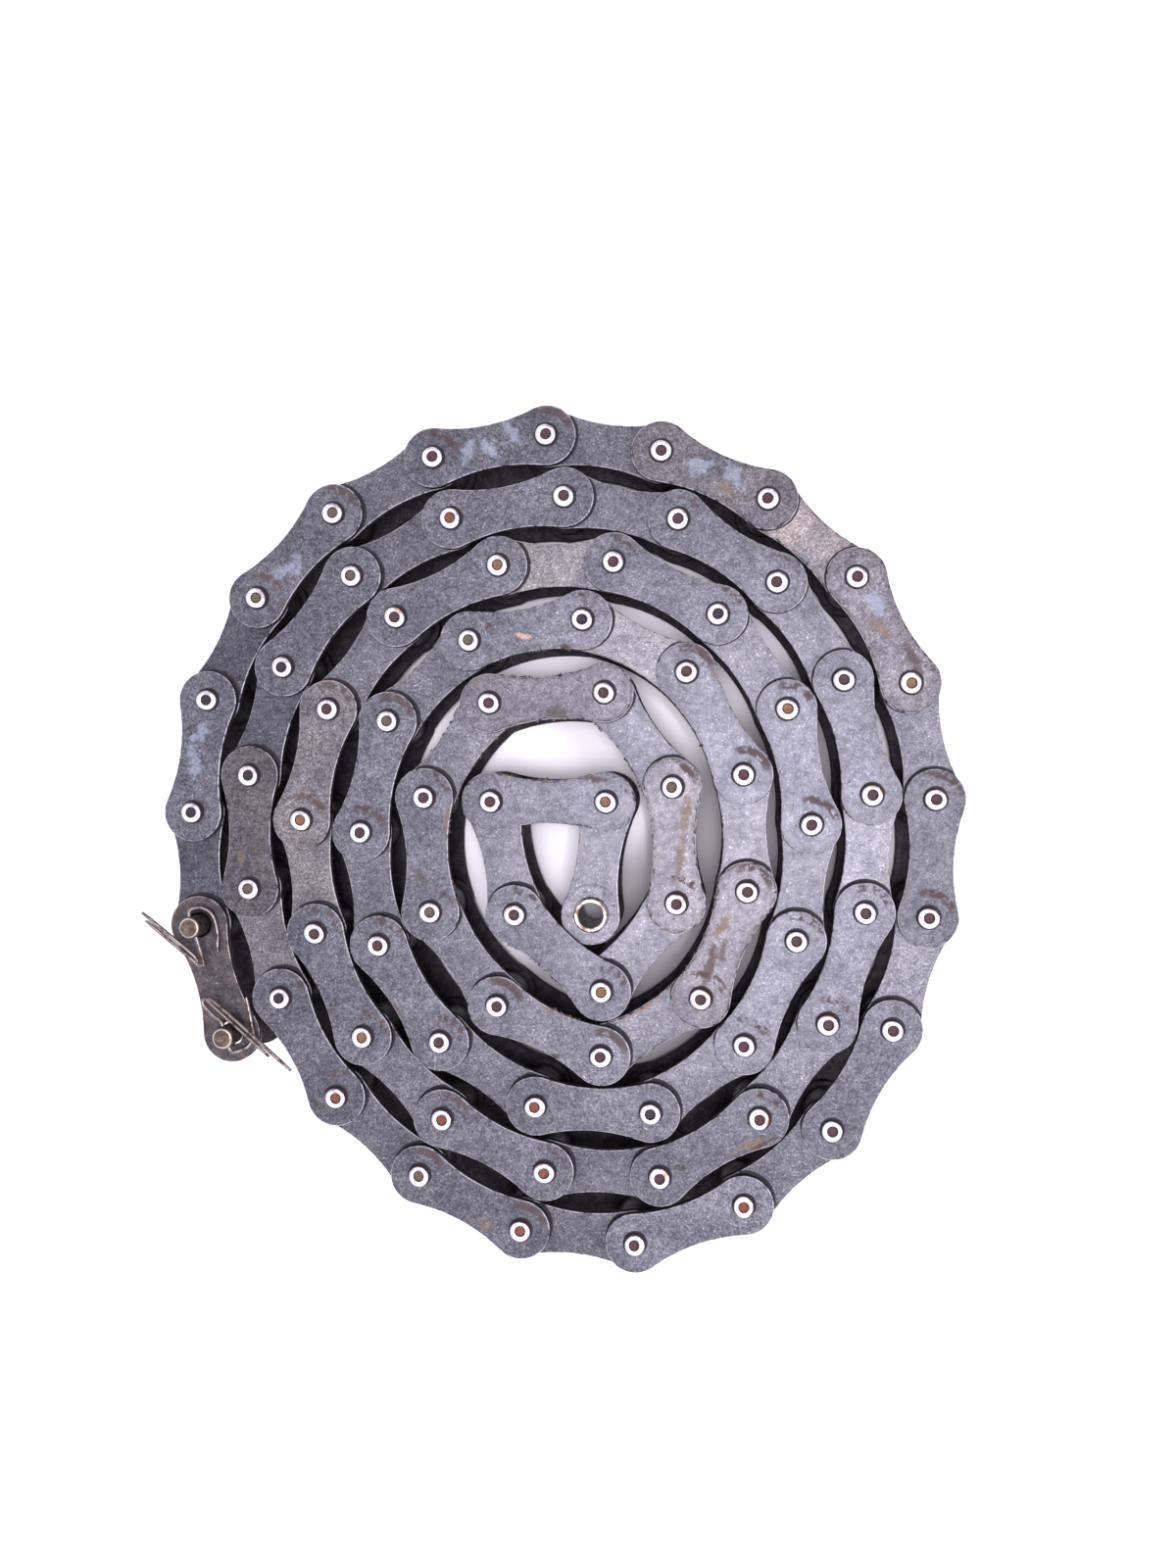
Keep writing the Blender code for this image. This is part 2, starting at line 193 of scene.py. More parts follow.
def read_pins():
    """All the pins' places in order. The near pin of each outer link is one pitch from the last pin."""
    joints = {joint["name"]: Vector(joint["pos_m"]) for joint in frame["joints"]}
    first_hinge = joints["hinge_pin_01"]
    places = sorted(upper_pin_ends(outer_link_node(1)), key=lambda end: -(end - first_hinge.xy).length)
    for link in range(3, LAST_LINK, 2):
        ends = upper_pin_ends(outer_link_node(link))
        last = places[-1]
        places += sorted(ends, key=lambda end: abs((end - last).length - PITCH))
    places.append(joints[f"roller_spin_{LAST_LINK}_b"].xy)
    return places, first_hinge.z


PINS, MIDDLE = read_pins()


def heading(link):
    """The direction in which a link runs, seen from above."""
    along = PINS[link] - PINS[link - 1]
    return atan2(along.y, along.x)


def link_matrix(link):
    """Places a piece drawn in a link's frame."""
    return Matrix.Translation((*PINS[link - 1], MIDDLE)) @ Matrix.Rotation(heading(link), 4, "Z")


class Skin:
    """A node material in the making. Its methods add nodes and give back their outputs. Its place is
    where a point lies at rest, in millimetres."""

    def __init__(self, name):
        self.material = bpy.data.materials.new(name)
        self.material.use_nodes = True
        self.tree = self.material.node_tree
        self.surface = self.tree.nodes["Principled BSDF"]
        self.place = self.scaled(self.tree.nodes.new("ShaderNodeTexCoord").outputs["Object"], MM)

    def feed(self, socket, value):
        if isinstance(value, bpy.types.NodeSocket):
            self.tree.links.new(value, socket)
        elif isinstance(value, tuple) and len(value) == 3 and socket.type == "RGBA":
            socket.default_value = (*value, 1.0)
        else:
            socket.default_value = value

    def node(self, kind, inputs, output=0, **settings):
        made = self.tree.nodes.new(kind)
        for key, value in settings.items():
            setattr(made, key, value)
        for key, value in inputs.items():
            self.feed(made.inputs[key], value)
        return made.outputs[output]

    def math(self, operation, *values, clamp=False):
        return self.node("ShaderNodeMath", dict(enumerate(values)), operation=operation, use_clamp=clamp)

    def plus(self, first, second):
        return self.math("ADD", first, second)

    def minus(self, first, second):
        return self.math("SUBTRACT", first, second)

    def times(self, first, second):
        return self.math("MULTIPLY", first, second)

    def larger(self, first, second):
        return self.math("MAXIMUM", first, second)

    def distance(self, x, y):
        """How far the point (x, y) lies from the origin."""
        return self.math("SQRT", self.plus(self.math("POWER", x, 2.0), self.math("POWER", y, 2.0)))

    def ragged(self, value, noise, amount, middle=0.5):
        """A distance shifted by a noise, so that whatever ends at it has a ragged border."""
        return self.plus(value, self.times(self.minus(noise, middle), amount))

    def ramp(self, value, low, high, start=0.0, end=1.0):
        """A smooth step: start where value is low, end where it is high."""
        inputs = {"Value": value, "From Min": low, "From Max": high, "To Min": start, "To Max": end}
        return self.node("ShaderNodeMapRange", inputs, interpolation_type="SMOOTHSTEP")

    def band(self, value, low, high, soft):
        """One between low and high, zero outside, with soft ends."""
        rise = self.ramp(value, low - soft, low + soft)
        return self.times(rise, self.ramp(value, high - soft, high + soft, 1.0, 0.0))

    def mix(self, factor, first, second, strength=None):
        """The second colour laid over the first, as far as the factor says, times the strength."""
        inputs = {0: self.times(factor, strength) if strength else factor, 6: first, 7: second}
        return self.node("ShaderNodeMix", inputs, output=2, data_type="RGBA")

    def scaled(self, vector, factor):
        return self.node("ShaderNodeVectorMath", {0: vector, "Scale": factor}, operation="SCALE")

    def turned(self, vector, angle):
        """A vector turned about Z."""
        inputs = {"Vector": vector, "Angle": angle}
        return self.node("ShaderNodeVectorRotate", inputs, rotation_type="Z_AXIS")

    def noise(self, size_mm, detail=2.0, roughness=0.5, place=None):
        """Noise of about that feature size."""
        inputs = {"Vector": self.place if place is None else place, "Scale": 1.0 / size_mm,
                  "Detail": detail, "Roughness": roughness}
        return self.node("ShaderNodeTexNoise", inputs)

    def attribute(self, name):
        return self.node("ShaderNodeAttribute", {}, output=1, attribute_name=name)

    def number(self, name):
        return self.node("ShaderNodeAttribute", {}, output=2, attribute_name=name)

    def millimetres(self, name):
        """A place that the mesh states in metres, in millimetres."""
        return self.scaled(self.attribute(name), MM)

    def split(self, vector):
        made = self.tree.nodes.new("ShaderNodeSeparateXYZ")
        self.feed(made.inputs[0], vector)
        return made.outputs

    def true_normal(self):
        return self.tree.nodes.new("ShaderNodeNewGeometry").outputs["True Normal"]

    def facing_up(self):
        """How flat the surface lies: one on the plates' faces, zero on upright walls."""
        return self.math("ABSOLUTE", self.split(self.true_normal())[2])

    def bump(self, height, depth_mm, strength=1.0):
        inputs = {"Height": height, "Distance": depth_mm / MM, "Strength": strength}
        self.feed(self.surface.inputs["Normal"], self.node("ShaderNodeBump", inputs))

    def finish(self, colour, roughness, metallic, specular=0.5):
        inputs = {"Base Color": colour, "Roughness": roughness, "Metallic": metallic,
                  "Specular IOR Level": specular}
        for name, value in inputs.items():
            self.feed(self.surface.inputs[name], value)
        return self.material


LILAC_WHITE = (1.0, 0.945, 1.065)
RUST = (0.070, 0.045, 0.030)
OCHRE = (0.145, 0.095, 0.050)
DARK_RUST = (0.042, 0.022, 0.017)
RED_BROWN = (0.062, 0.034, 0.024)
ORANGE_BROWN = (0.19, 0.105, 0.055)
PINK_BEIGE = (0.42, 0.27, 0.21)
OLD_OIL = (0.050, 0.040, 0.030)
# Near black: grease, and painted shade on the walls and between the plates.
GRIME_AND_SHADE = (0.012, 0.011, 0.014)
PALE_SMEAR = (0.25, 0.285, 0.36)
BARE_STEEL = (0.50, 0.50, 0.54)
OUTER_STEEL = (0.076, 0.079, 0.092)
OUTER_WARM = (0.118, 0.102, 0.095)
INNER_STEEL = (0.079, 0.082, 0.094)
INNER_WARM = (0.134, 0.122, 0.114)

# Where grease and painted contact shadow show round a plate's pins: from which to which distance off the
# pin's axis, in millimetres, and the number stored on the mesh that says where, if it isn't everywhere.
OUTER_CONTACTS = ((3.6, 4.40, None),)
INNER_CONTACTS = ((5.9, 6.5, None), (10.58, 11.08, "overlapped"))


def plate_place(skin):
    """Places in millimetres on a plate, with the distances to its outline and to the nearer pin's
    axis, and how far the point lies on that pin's dirty side, where dirt and painted shadow lie."""
    along, across, height = skin.split(skin.millimetres("link_place"))
    half, centre, waist = HALF_PITCH * MM, WAIST_CENTRE * MM, WAIST_RADIUS * MM
    from_middle = skin.math("ABSOLUTE", skin.minus(along, half))
    aside = skin.math("ABSOLUTE", across)
    to_pin = skin.distance(skin.minus(from_middle, half), aside)
    to_waist_centre = skin.distance(from_middle, skin.minus(centre, aside))
    along_share = skin.math("DIVIDE", from_middle, half)
    at_waist = skin.plus(along_share, skin.math("DIVIDE", aside, centre))
    at_waist = skin.math("LESS_THAN", at_waist, 1.0)
    end_edge = skin.minus(END_RADIUS * MM, to_pin)
    waist_edge = skin.minus(to_waist_centre, waist)
    edge = skin.node("ShaderNodeMix", {0: at_waist, 2: end_edge, 3: waist_edge})
    past_middle = skin.math("GREATER_THAN", along, half)
    from_pin = skin.minus(along, skin.times(past_middle, 2 * half))
    dirty_x, dirty_y, _ = skin.split(skin.attribute("dirty_and_shaded_side"))
    on_dirty_and_shaded_side = skin.plus(skin.times(from_pin, dirty_x), skin.times(across, dirty_y))
    return along, across, height, edge, to_pin, on_dirty_and_shaded_side


def mark_mask(skin, number, along, across, warp):
    """Where a stain lies: an oval at the place, size and turn that the mesh states, with ragged edges."""
    mark_along, mark_across, strength = skin.split(skin.attribute(f"mark_{number}"))
    half_length, half_width, turn = skin.split(skin.attribute(f"mark_{number}_size"))
    away = skin.node("ShaderNodeCombineXYZ", {
        0: skin.minus(along, mark_along), 1: skin.minus(across, mark_across)})
    x, y, _ = skin.split(skin.turned(away, skin.times(turn, -1.0)))
    far = skin.distance(skin.math("DIVIDE", x, half_length), skin.math("DIVIDE", y, half_width))
    return skin.times(skin.ramp(skin.ragged(far, warp, 2.6), 1.10, 0.40), strength)


def bare_steel_tone(skin, fine, patchy, broad):
    """How light the bare plate is: speckled with bare grain and painted glints, scratched aslant and
    uneven.
    """
    # Light specks: bare grain and painted glints.
    grain_and_glint_specks = skin.ramp(skin.noise(0.72, 2.0, 0.6), 0.58, 0.71, 1.0, 2.2)
    aslant = skin.turned(skin.millimetres("link_place"), 0.7)
    stretched = skin.node("ShaderNodeVectorMath", {0: aslant, 1: (0.22, 1.5, 1.0)}, operation="MULTIPLY")
    scratches = skin.ramp(skin.noise(1.0, 2.0, 0.6, stretched), 0.65, 0.72, 1.0, 1.6)
    tone = skin.times(skin.ramp(fine, 0.33, 0.67, 0.60, 1.32), skin.times(grain_and_glint_specks, scratches))
    tone = skin.times(tone, skin.ramp(patchy, 0.30, 0.72, 0.78, 1.16))
    return skin.times(tone, skin.ramp(broad, 0.30, 0.70, 0.84, 1.16))


def dirty_crescent(skin, to_pin, on_dirty_and_shaded_side, warp):
    """The dark crescent beside a pin, on its dirty side."""
    ring = skin.band(to_pin, 7.4, 10.0, 0.5)
    toward_dirt = skin.ramp(skin.math("DIVIDE", on_dirty_and_shaded_side, to_pin), 0.50, 0.90)
    scuffed = skin.plus(warp, skin.times(skin.number("scuffed"), 0.25))
    crescent = skin.times(skin.times(ring, toward_dirt), skin.ramp(scuffed, 0.58, 0.70))
    return skin.times(crescent, 0.85)


def joint_grease_and_shadow(skin, to_pin, on_dirty_and_shaded_side, warp, contacts):
    """Grease pressed out round the pins, at the distances of each contact, with painted contact shadow
    where another part lies over the plate.
    """
    # The band reaches further on the pins' dirty side, as painted shadow.
    smudged = skin.minus(skin.ragged(to_pin, warp, 0.5), skin.times(on_dirty_and_shaded_side, 0.06))
    grease = 0.0
    for low, high, where in contacts:
        outside = skin.ramp(to_pin, low - 0.1, low + 0.1)
        contact = skin.times(outside, skin.ramp(smudged, high - 0.12, high + 0.12, 1.0, 0.0))
        if where:
            contact = skin.times(contact, skin.number(where))
        grease = skin.larger(grease, contact)
    return grease


def plate_steel(name, base, warm, contacts):
    """Dull speckled steel of the link plates, with rubbed edges, rusty fringes, light specks that are
    partly painted glints, and walls and inward faces darkened by grease and by painted shade.
    """
    skin = Skin(name)
    along, across, height, edge, to_pin, on_dirty_and_shaded_side = plate_place(skin)
    shade, warmth, rust = skin.split(skin.attribute("link_look"))
    facing = skin.facing_up()
    fine = skin.noise(0.8, 3.0, 0.7)
    patchy = skin.noise(3.2, 3.0, 0.6)
    broad = skin.noise(17.0, 2.0)
    warp = skin.noise(2.4, 3.0, 0.65)

    colour = skin.mix(skin.times(warmth, skin.ramp(broad, 0.10, 0.60)), base, warm)
    tone = bare_steel_tone(skin, fine, patchy, broad)
    colour = skin.scaled(colour, skin.times(tone, shade))
    pits = skin.ramp(skin.noise(1.7, 2.0, 0.7), 0.32, 0.26)
    colour = skin.mix(pits, colour, (0.014, 0.011, 0.013), 0.6)

    rusty = skin.times(skin.ramp(edge, 2.4, 0.0), skin.ramp(patchy, 0.46, 0.62))
    rusty = skin.math("MULTIPLY", rusty, rust, clamp=True)
    colour = skin.mix(rusty, colour, RUST, 0.7)
    grain = skin.ramp(fine, 0.25, 0.60, 0.50, 0.95)
    for number in range(1, MARKS_A_LINK + 1):
        mark = skin.times(mark_mask(skin, number, along, across, warp), grain)
        colour = skin.mix(mark, colour, skin.attribute(f"mark_{number}_colour"))
        rusty = skin.larger(rusty, mark)
    crescent = dirty_crescent(skin, to_pin, on_dirty_and_shaded_side, warp)
    colour = skin.mix(skin.times(crescent, grain), colour, DARK_RUST)
    rusty = skin.larger(rusty, crescent)

    # Inward faces between the plates darkened near black: oil, with painted shade where the plates hide
    # them.
    outward = skin.times(height, skin.split(skin.true_normal())[2])
    inward = skin.ramp(outward, 0.5, -0.5)
    oily = skin.mix(skin.ramp(patchy, 0.40, 0.66), (0.011, 0.010, 0.014), (0.030, 0.026, 0.030))
    colour = skin.mix(inward, colour, skin.scaled(oily, skin.ramp(fine, 0.3, 0.7, 0.7, 1.4)))
    crust = skin.ramp(skin.ragged(edge, warp, 3.0, middle=0.58), 0.35, 0.0)
    crust = skin.times(crust, skin.ramp(rust, 0.35, 0.6))
    # Crust along the edges, and grease with painted contact shadow round the pins.
    dirty = skin.larger(crust, joint_grease_and_shadow(skin, to_pin, on_dirty_and_shaded_side, warp, contacts))
    # Upright walls painted near black: grease, with painted shade in the gaps between the parts.
    wall = skin.ramp(facing, 0.45, 0.20)
    grease_and_shade = skin.mix(skin.ramp(patchy, 0.55, 0.72), GRIME_AND_SHADE, (0.026, 0.019, 0.019))
    colour = skin.mix(skin.larger(wall, dirty), colour, grease_and_shade)
    rubbed = skin.times(skin.band(facing, 0.30, 0.96, 0.05), skin.ramp(outward, 1.0, 3.0))
    rubbed = skin.times(rubbed, skin.ramp(patchy, 0.34, 0.56))
    colour = skin.mix(rubbed, colour, BARE_STEEL, 0.45)

    covered = skin.larger(skin.larger(rusty, wall), skin.larger(dirty, inward))
    roughness = skin.plus(skin.ramp(fine, 0.25, 0.75, 0.28, 0.43), skin.times(covered, 0.25))
    metallic = skin.minus(0.5, skin.times(covered, 0.5))
    skin.bump(skin.plus(fine, skin.times(pits, -0.8)), 0.05, 0.6)
    return skin.finish(colour, roughness, metallic, specular=0.15)


# What a riveted head's dimple holds, from each step of its kind on.
DIMPLE_TONES = (
    (0.0, (0.022, 0.018, 0.026)), (0.2, (0.048, 0.024, 0.027)), (0.4, (0.075, 0.060, 0.040)),
    (0.6, (0.13, 0.042, 0.022)), (0.8, (0.135, 0.075, 0.034)))


def dimple_tone(skin, kind):
    """The colour that belongs to a dimple's kind."""
    ramp = skin.tree.nodes.new("ShaderNodeValToRGB")
    ramp.color_ramp.interpolation = "CONSTANT"
    while len(ramp.color_ramp.elements) < len(DIMPLE_TONES):
        ramp.color_ramp.elements.new(0.5)
    for stop, (position, tone) in zip(ramp.color_ramp.elements, DIMPLE_TONES):
        stop.position = position
        stop.color = (*tone, 1.0)
    skin.feed(ramp.inputs["Fac"], kind)
    return ramp.outputs["Color"]


def riveted_steel(name):
    """The pins: bare bright head rings with painted shade on one side, a stained dimple with a rim of
    painted shade and dirt, and a dark foot where dirt collects, widened on one side as painted shadow.
    """
    skin = Skin(name)
    x, y, _ = skin.split(skin.millimetres("pin_place"))
    kind, stain, turn = skin.split(skin.attribute("pin_look"))
    radius = skin.distance(x, y)
    facing = skin.facing_up()
    fine = skin.noise(0.5, 2.0, 0.6)
    patchy = skin.noise(1.8, 3.0, 0.6)

    swirl = skin.ramp(patchy, 0.44, 0.62)
    colour = skin.mix(skin.times(swirl, 0.40), (0.74, 0.73, 0.76), (0.36, 0.32, 0.35))
    side = skin.plus(skin.times(x, skin.math("COSINE", turn)), skin.times(y, skin.math("SINE", turn)))
    # The ring is darker towards one side: painted shade.
    colour = skin.scaled(colour, skin.ramp(side, -1.0, 3.6, 1.0, 0.72))
    # On that side, grey painted shade with dirt, and a real stain on some heads.
    dirty_and_shaded_side = skin.times(skin.ramp(side, 1.2, 3.2), skin.ramp(patchy, 0.40, 0.56))
    colour = skin.mix(dirty_and_shaded_side, colour, (0.20, 0.17, 0.19), 0.65)
    colour = skin.mix(skin.times(dirty_and_shaded_side, stain), colour, (0.40, 0.20, 0.06))

    ragged = skin.ragged(radius, patchy, 0.5)
    in_dimple = skin.ramp(ragged, 2.02, 1.88)
    filling = skin.scaled(dimple_tone(skin, kind), skin.ramp(fine, 0.3, 0.7, 0.65, 1.5))
    colour = skin.mix(in_dimple, colour, filling)
    # A dark ring at the dimple's wall: painted shade with dirt.
    rim = skin.band(ragged, 1.60, 1.98, 0.10)
    colour = skin.mix(rim, colour, (0.030, 0.018, 0.022), 0.8)
    # Dirt at the head's foot, reaching further on one side as painted shadow; the head's upright side is
    # darkened as painted dark reflection with dirt.
    reach = skin.plus(skin.ragged(radius, patchy, 0.35), skin.times(skin.larger(side, 0.0), 0.11))
    foot = skin.larger(skin.ramp(reach, 3.60, 3.78), skin.ramp(facing, 0.55, 0.25))
    colour = skin.mix(foot, colour, (0.032, 0.020, 0.026))

    covered = skin.larger(foot, in_dimple)
    roughness = skin.larger(skin.ramp(patchy, 0.3, 0.7, 0.32, 0.55), skin.times(covered, 0.65))
    skin.bump(fine, 0.04, 0.5)
    return skin.finish(colour, roughness, skin.ramp(covered, 0.0, 1.0, 0.75, 0.1), specular=0.2)


def greasy_steel(name, base, brown):
    """Rollers: dark burnished steel under old grease."""
    skin = Skin(name)
    fine = skin.noise(0.9, 3.0, 0.6)
    patchy = skin.noise(4.0, 3.0, 0.6)
    colour = skin.mix(skin.ramp(patchy, 0.40, 0.66), base, brown)
    colour = skin.scaled(colour, skin.ramp(fine, 0.3, 0.7, 0.7, 1.35))
    skin.bump(skin.plus(fine, patchy), 0.06, 0.5)
    return skin.finish(colour, skin.ramp(patchy, 0.3, 0.7, 0.30, 0.52), 0.55)


def bush_steel(name):
    """Bushes: a pale bronze-brown end ring and a darker oily bore."""
    skin = Skin(name)
    fine = skin.noise(0.6, 2.0, 0.6)
    patchy = skin.noise(2.5, 3.0, 0.6)
    facing = skin.ramp(skin.facing_up(), 0.3, 0.7)
    end_tone = skin.mix(skin.ramp(patchy, 0.42, 0.62), (0.27, 0.245, 0.22), (0.13, 0.088, 0.062))
    colour = skin.mix(facing, skin.mix(patchy, (0.09, 0.075, 0.070), (0.19, 0.17, 0.165)), end_tone)
    colour = skin.scaled(colour, skin.ramp(fine, 0.3, 0.7, 0.75, 1.25))
    skin.bump(fine, 0.03, 0.5)
    return skin.finish(colour, skin.ramp(patchy, 0.3, 0.7, 0.28, 0.50), 0.7)


def cover_steel(name):
    """The connecting link's cover: grainy purple-grey with light specks that are partly painted glints,
    ochre along its edge, oily beside the pins with their painted shadow, and painted shade on its walls.
    """
    skin = Skin(name)
    _, _, _, edge, to_pin, on_dirty_and_shaded_side = plate_place(skin)
    facing = skin.facing_up()
    fine = skin.noise(0.8, 3.0, 0.7)
    patchy = skin.noise(4.5, 3.0, 0.6)
    # Light specks: bare grain and painted glints.
    grain_and_glint_specks = skin.ramp(skin.noise(0.9, 2.0, 0.6), 0.57, 0.70, 1.0, 2.2)
    colour = skin.mix(skin.ramp(patchy, 0.36, 0.64), (0.036, 0.032, 0.037), (0.066, 0.056, 0.058))
    colour = skin.scaled(colour, skin.times(grain_and_glint_specks, skin.ramp(fine, 0.3, 0.7, 0.55, 1.35)))
    ochre = skin.times(skin.ramp(edge, 2.6, 0.2), skin.ramp(patchy, 0.44, 0.60))
    colour = skin.mix(ochre, colour, (0.105, 0.075, 0.045), 0.7)
    # Dark oil beside the pins, lopsided towards the dirty side as the pins' painted shadow.
    oily = skin.minus(to_pin, skin.times(on_dirty_and_shaded_side, 0.35))
    oil_and_shadow = skin.ramp(skin.plus(oily, skin.times(patchy, 2.0)), 6.6, 5.0)
    colour = skin.mix(oil_and_shadow, colour, (0.010, 0.007, 0.008), 0.85)
    rubbed = skin.times(skin.ramp(edge, 0.45, 0.22), skin.ramp(patchy, 0.36, 0.55))
    colour = skin.mix(rubbed, colour, BARE_STEEL, 0.4)
    # Upright walls near black: grease with painted shade.
    colour = skin.mix(skin.ramp(facing, 0.75, 0.40), colour, (0.030, 0.023, 0.023))
    roughness = skin.ramp(oil_and_shadow, 0.0, 1.0, 0.45, 0.22)
    skin.bump(fine, 0.05, 0.6)
    return skin.finish(colour, roughness, 0.30, specular=0.3)


def long_pin_steel(name):
    """The connecting link's pins: brassy brown ends with a bright rim, dark and oily below."""
    skin = Skin(name)
    x, y, z = skin.split(skin.millimetres("pin_place"))
    radius = skin.distance(x, y)
    fine = skin.noise(0.6, 2.0, 0.6)
    patchy = skin.noise(2.2, 3.0, 0.6)
    top = skin.ramp(z, (LONG_PIN_TOP - 0.0012) * MM, (LONG_PIN_TOP - 0.0004) * MM)
    low = skin.mix(skin.ramp(patchy, 0.42, 0.60), (0.085, 0.070, 0.068), (0.024, 0.017, 0.015))
    end_tone = skin.mix(skin.ramp(patchy, 0.38, 0.60), (0.145, 0.115, 0.085), (0.070, 0.046, 0.034))
    colour = skin.mix(top, low, end_tone)
    rim = skin.times(skin.band(radius, 3.05, 3.6, 0.1), top)
    colour = skin.mix(rim, colour, (0.50, 0.44, 0.38), 0.8)
    colour = skin.scaled(colour, skin.ramp(fine, 0.3, 0.7, 0.8, 1.2))
    skin.bump(fine, 0.04, 0.5)
    return skin.finish(colour, skin.ramp(patchy, 0.3, 0.7, 0.28, 0.5), 0.75)


def cotter_wire(name):
    """Split cotters: dull silvery wire, copper-brown where it is stained."""
    skin = Skin(name)
    fine = skin.noise(0.5, 2.0, 0.6)
    patchy = skin.noise(3.0, 3.0, 0.6)
    colour = skin.mix(skin.ramp(patchy, 0.48, 0.66), (0.185, 0.160, 0.148), (0.062, 0.040, 0.030))
    colour = skin.scaled(colour, skin.ramp(fine, 0.3, 0.7, 0.8, 1.2))
    skin.bump(fine, 0.03, 0.4)
    return skin.finish(colour, skin.ramp(patchy, 0.3, 0.7, 0.28, 0.48), 0.85)


def old_grease(name):
    """Dried grease with dirt in it: black-brown, here and there ochre."""
    skin = Skin(name)
    fine = skin.noise(0.4, 2.0, 0.6)
    patchy = skin.noise(2.2, 2.0, 0.6)
    colour = skin.mix(skin.ramp(patchy, 0.46, 0.60), (0.014, 0.010, 0.009), (0.100, 0.060, 0.031))
    colour = skin.scaled(colour, skin.ramp(fine, 0.3, 0.7, 0.6, 1.4))
    skin.bump(fine, 0.05, 0.6)
    return skin.finish(colour, skin.ramp(fine, 0.3, 0.7, 0.45, 0.75), 0.0)


def floor_paper(name):
    """Plain matt white ground with painted shade under the turns on the eye's lower right, where the
    lamps alone leave the slots between the turns too light."""
    skin = Skin(name)
    tone = skin.ramp(skin.noise(60.0, 2.0), 0.3, 0.7, 0.88, 0.92)
    x, y, _ = skin.split(skin.place)
    x, y = (skin.minus(value, middle) for value, middle in zip((x, y), EYE_MIDDLE))
    beside = skin.minus(skin.times(x, 0.75), skin.times(y, 0.66))
    # Painted shade on the ground under the turns.
    under = skin.times(skin.ramp(beside, 16.0, 42.0), skin.ramp(skin.distance(x, y), 118.0, 104.0))
    tone = skin.times(tone, skin.ramp(under, 0.0, 1.0, 1.0, 0.45))
    colour = skin.node("ShaderNodeCombineXYZ", {0: tone, 1: tone, 2: tone})
    return skin.finish(colour, 0.9, 0.0)


def set_vectors(mesh, name, values):
    """Store one vector for each vertex, or the same vector for all."""
    count = len(mesh.vertices)
    stored = mesh.attributes.new(name, "FLOAT_VECTOR", "POINT")
    table = np.broadcast_to(np.asarray(values, np.float32), (count, 3))
    stored.data.foreach_set("vector", np.ascontiguousarray(table).ravel())


def set_numbers(mesh, name, values):
    """Store one number for each vertex."""
    stored = mesh.attributes.new(name, "FLOAT", "POINT")
    stored.data.foreach_set("value", np.asarray(values, np.float32))


def vertex_places(mesh):
    places = np.zeros(len(mesh.vertices) * 3, np.float32)
    mesh.vertices.foreach_get("co", places)
    return places.reshape(-1, 3)


def plate_outline():
    """A link plate's outline, whose rounded edge is set in later by the curve's own offset."""
    tangent = atan2(WAIST_CENTRE, -HALF_PITCH)
    reach = atan2(HALF_PITCH, WAIST_CENTRE)
    end = [Vector((HALF_PITCH + END_RADIUS * cos(a), END_RADIUS * sin(a)))
           for a in np.linspace(-tangent, tangent, END_POINTS)]
    waist = [Vector((WAIST_RADIUS * sin(a), WAIST_CENTRE - WAIST_RADIUS * cos(a)))
             for a in np.linspace(reach, -reach, WAIST_POINTS + 2)[1:-1]]
    return [Vector((HALF_PITCH + side * point.x, side * point.y))
            for side in (1, -1) for point in end + waist]


def circle_outline(centre_x, radius):
    return [Vector((centre_x + radius * cos(2 * pi * step / BORE_SIDES),
                    radius * sin(2 * pi * step / BORE_SIDES))) for step in range(BORE_SIDES)]


def closed_mesh(shape):
    """The evaluated mesh of a loose object, welded and with its faces pointing out."""
    bpy.context.scene.collection.objects.link(shape)
    depsgraph = bpy.context.evaluated_depsgraph_get()
    mesh = bpy.data.meshes.new_from_object(shape.evaluated_get(depsgraph))
    bpy.data.objects.remove(shape, do_unlink=True)
    weld = bmesh.new()
    weld.from_mesh(mesh)
    bmesh.ops.remove_doubles(weld, verts=weld.verts, dist=1e-7)
    bmesh.ops.recalc_face_normals(weld, faces=weld.faces)
    weld.to_mesh(mesh)
    weld.free()
    return mesh


def plate_mesh(hole_radius, low, high):
    """A plate with rounded edges between two heights, with holes at both pins if a radius is given."""
    curve = bpy.data.curves.new("plate", "CURVE")
    curve.dimensions = "2D"
    curve.fill_mode = "BOTH"
    curve.extrude = (high - low) / 2 - EDGE_ROUND
    curve.bevel_depth = EDGE_ROUND
    curve.bevel_resolution = 1
    curve.offset = -EDGE_ROUND
    outlines = [plate_outline()]
    if hole_radius:
        outlines += [circle_outline(x, hole_radius) for x in (0.0, PITCH)]
    for outline in outlines:
        spline = curve.splines.new("POLY")
        spline.points.add(len(outline) - 1)
        for knot, corner in zip(spline.points, outline):
            knot.co = (corner.x, corner.y, 0.0, 1.0)
        spline.use_cyclic_u = True
    mesh = closed_mesh(bpy.data.objects.new("plate", curve))
    mesh.transform(Matrix.Translation((0.0, 0.0, (low + high) / 2)))
    return mesh


def joined(meshes, sharp_degrees=25):
    """Several meshes as one, with edges that turn sharply kept crisp."""
    shape = bmesh.new()
    for mesh in meshes:
        shape.from_mesh(mesh)
        bpy.data.meshes.remove(mesh)
    whole = bpy.data.meshes.new("joined")
    shape.to_mesh(whole)
    shape.free()
    whole.shade_smooth()
    whole.set_sharp_from_angle(angle=radians(sharp_degrees))
    return whole


def crisp_flats(mesh):
    """Keep a plate's flat faces flat right up to their rounded borders."""
    shape = bmesh.new()
    shape.from_mesh(mesh)
    for edge in shape.edges:
        flats = [abs(face.normal.z) > 0.999 for face in edge.link_faces]
        if any(flats) and not all(flats):
            edge.smooth = False
    shape.to_mesh(mesh)
    shape.free()


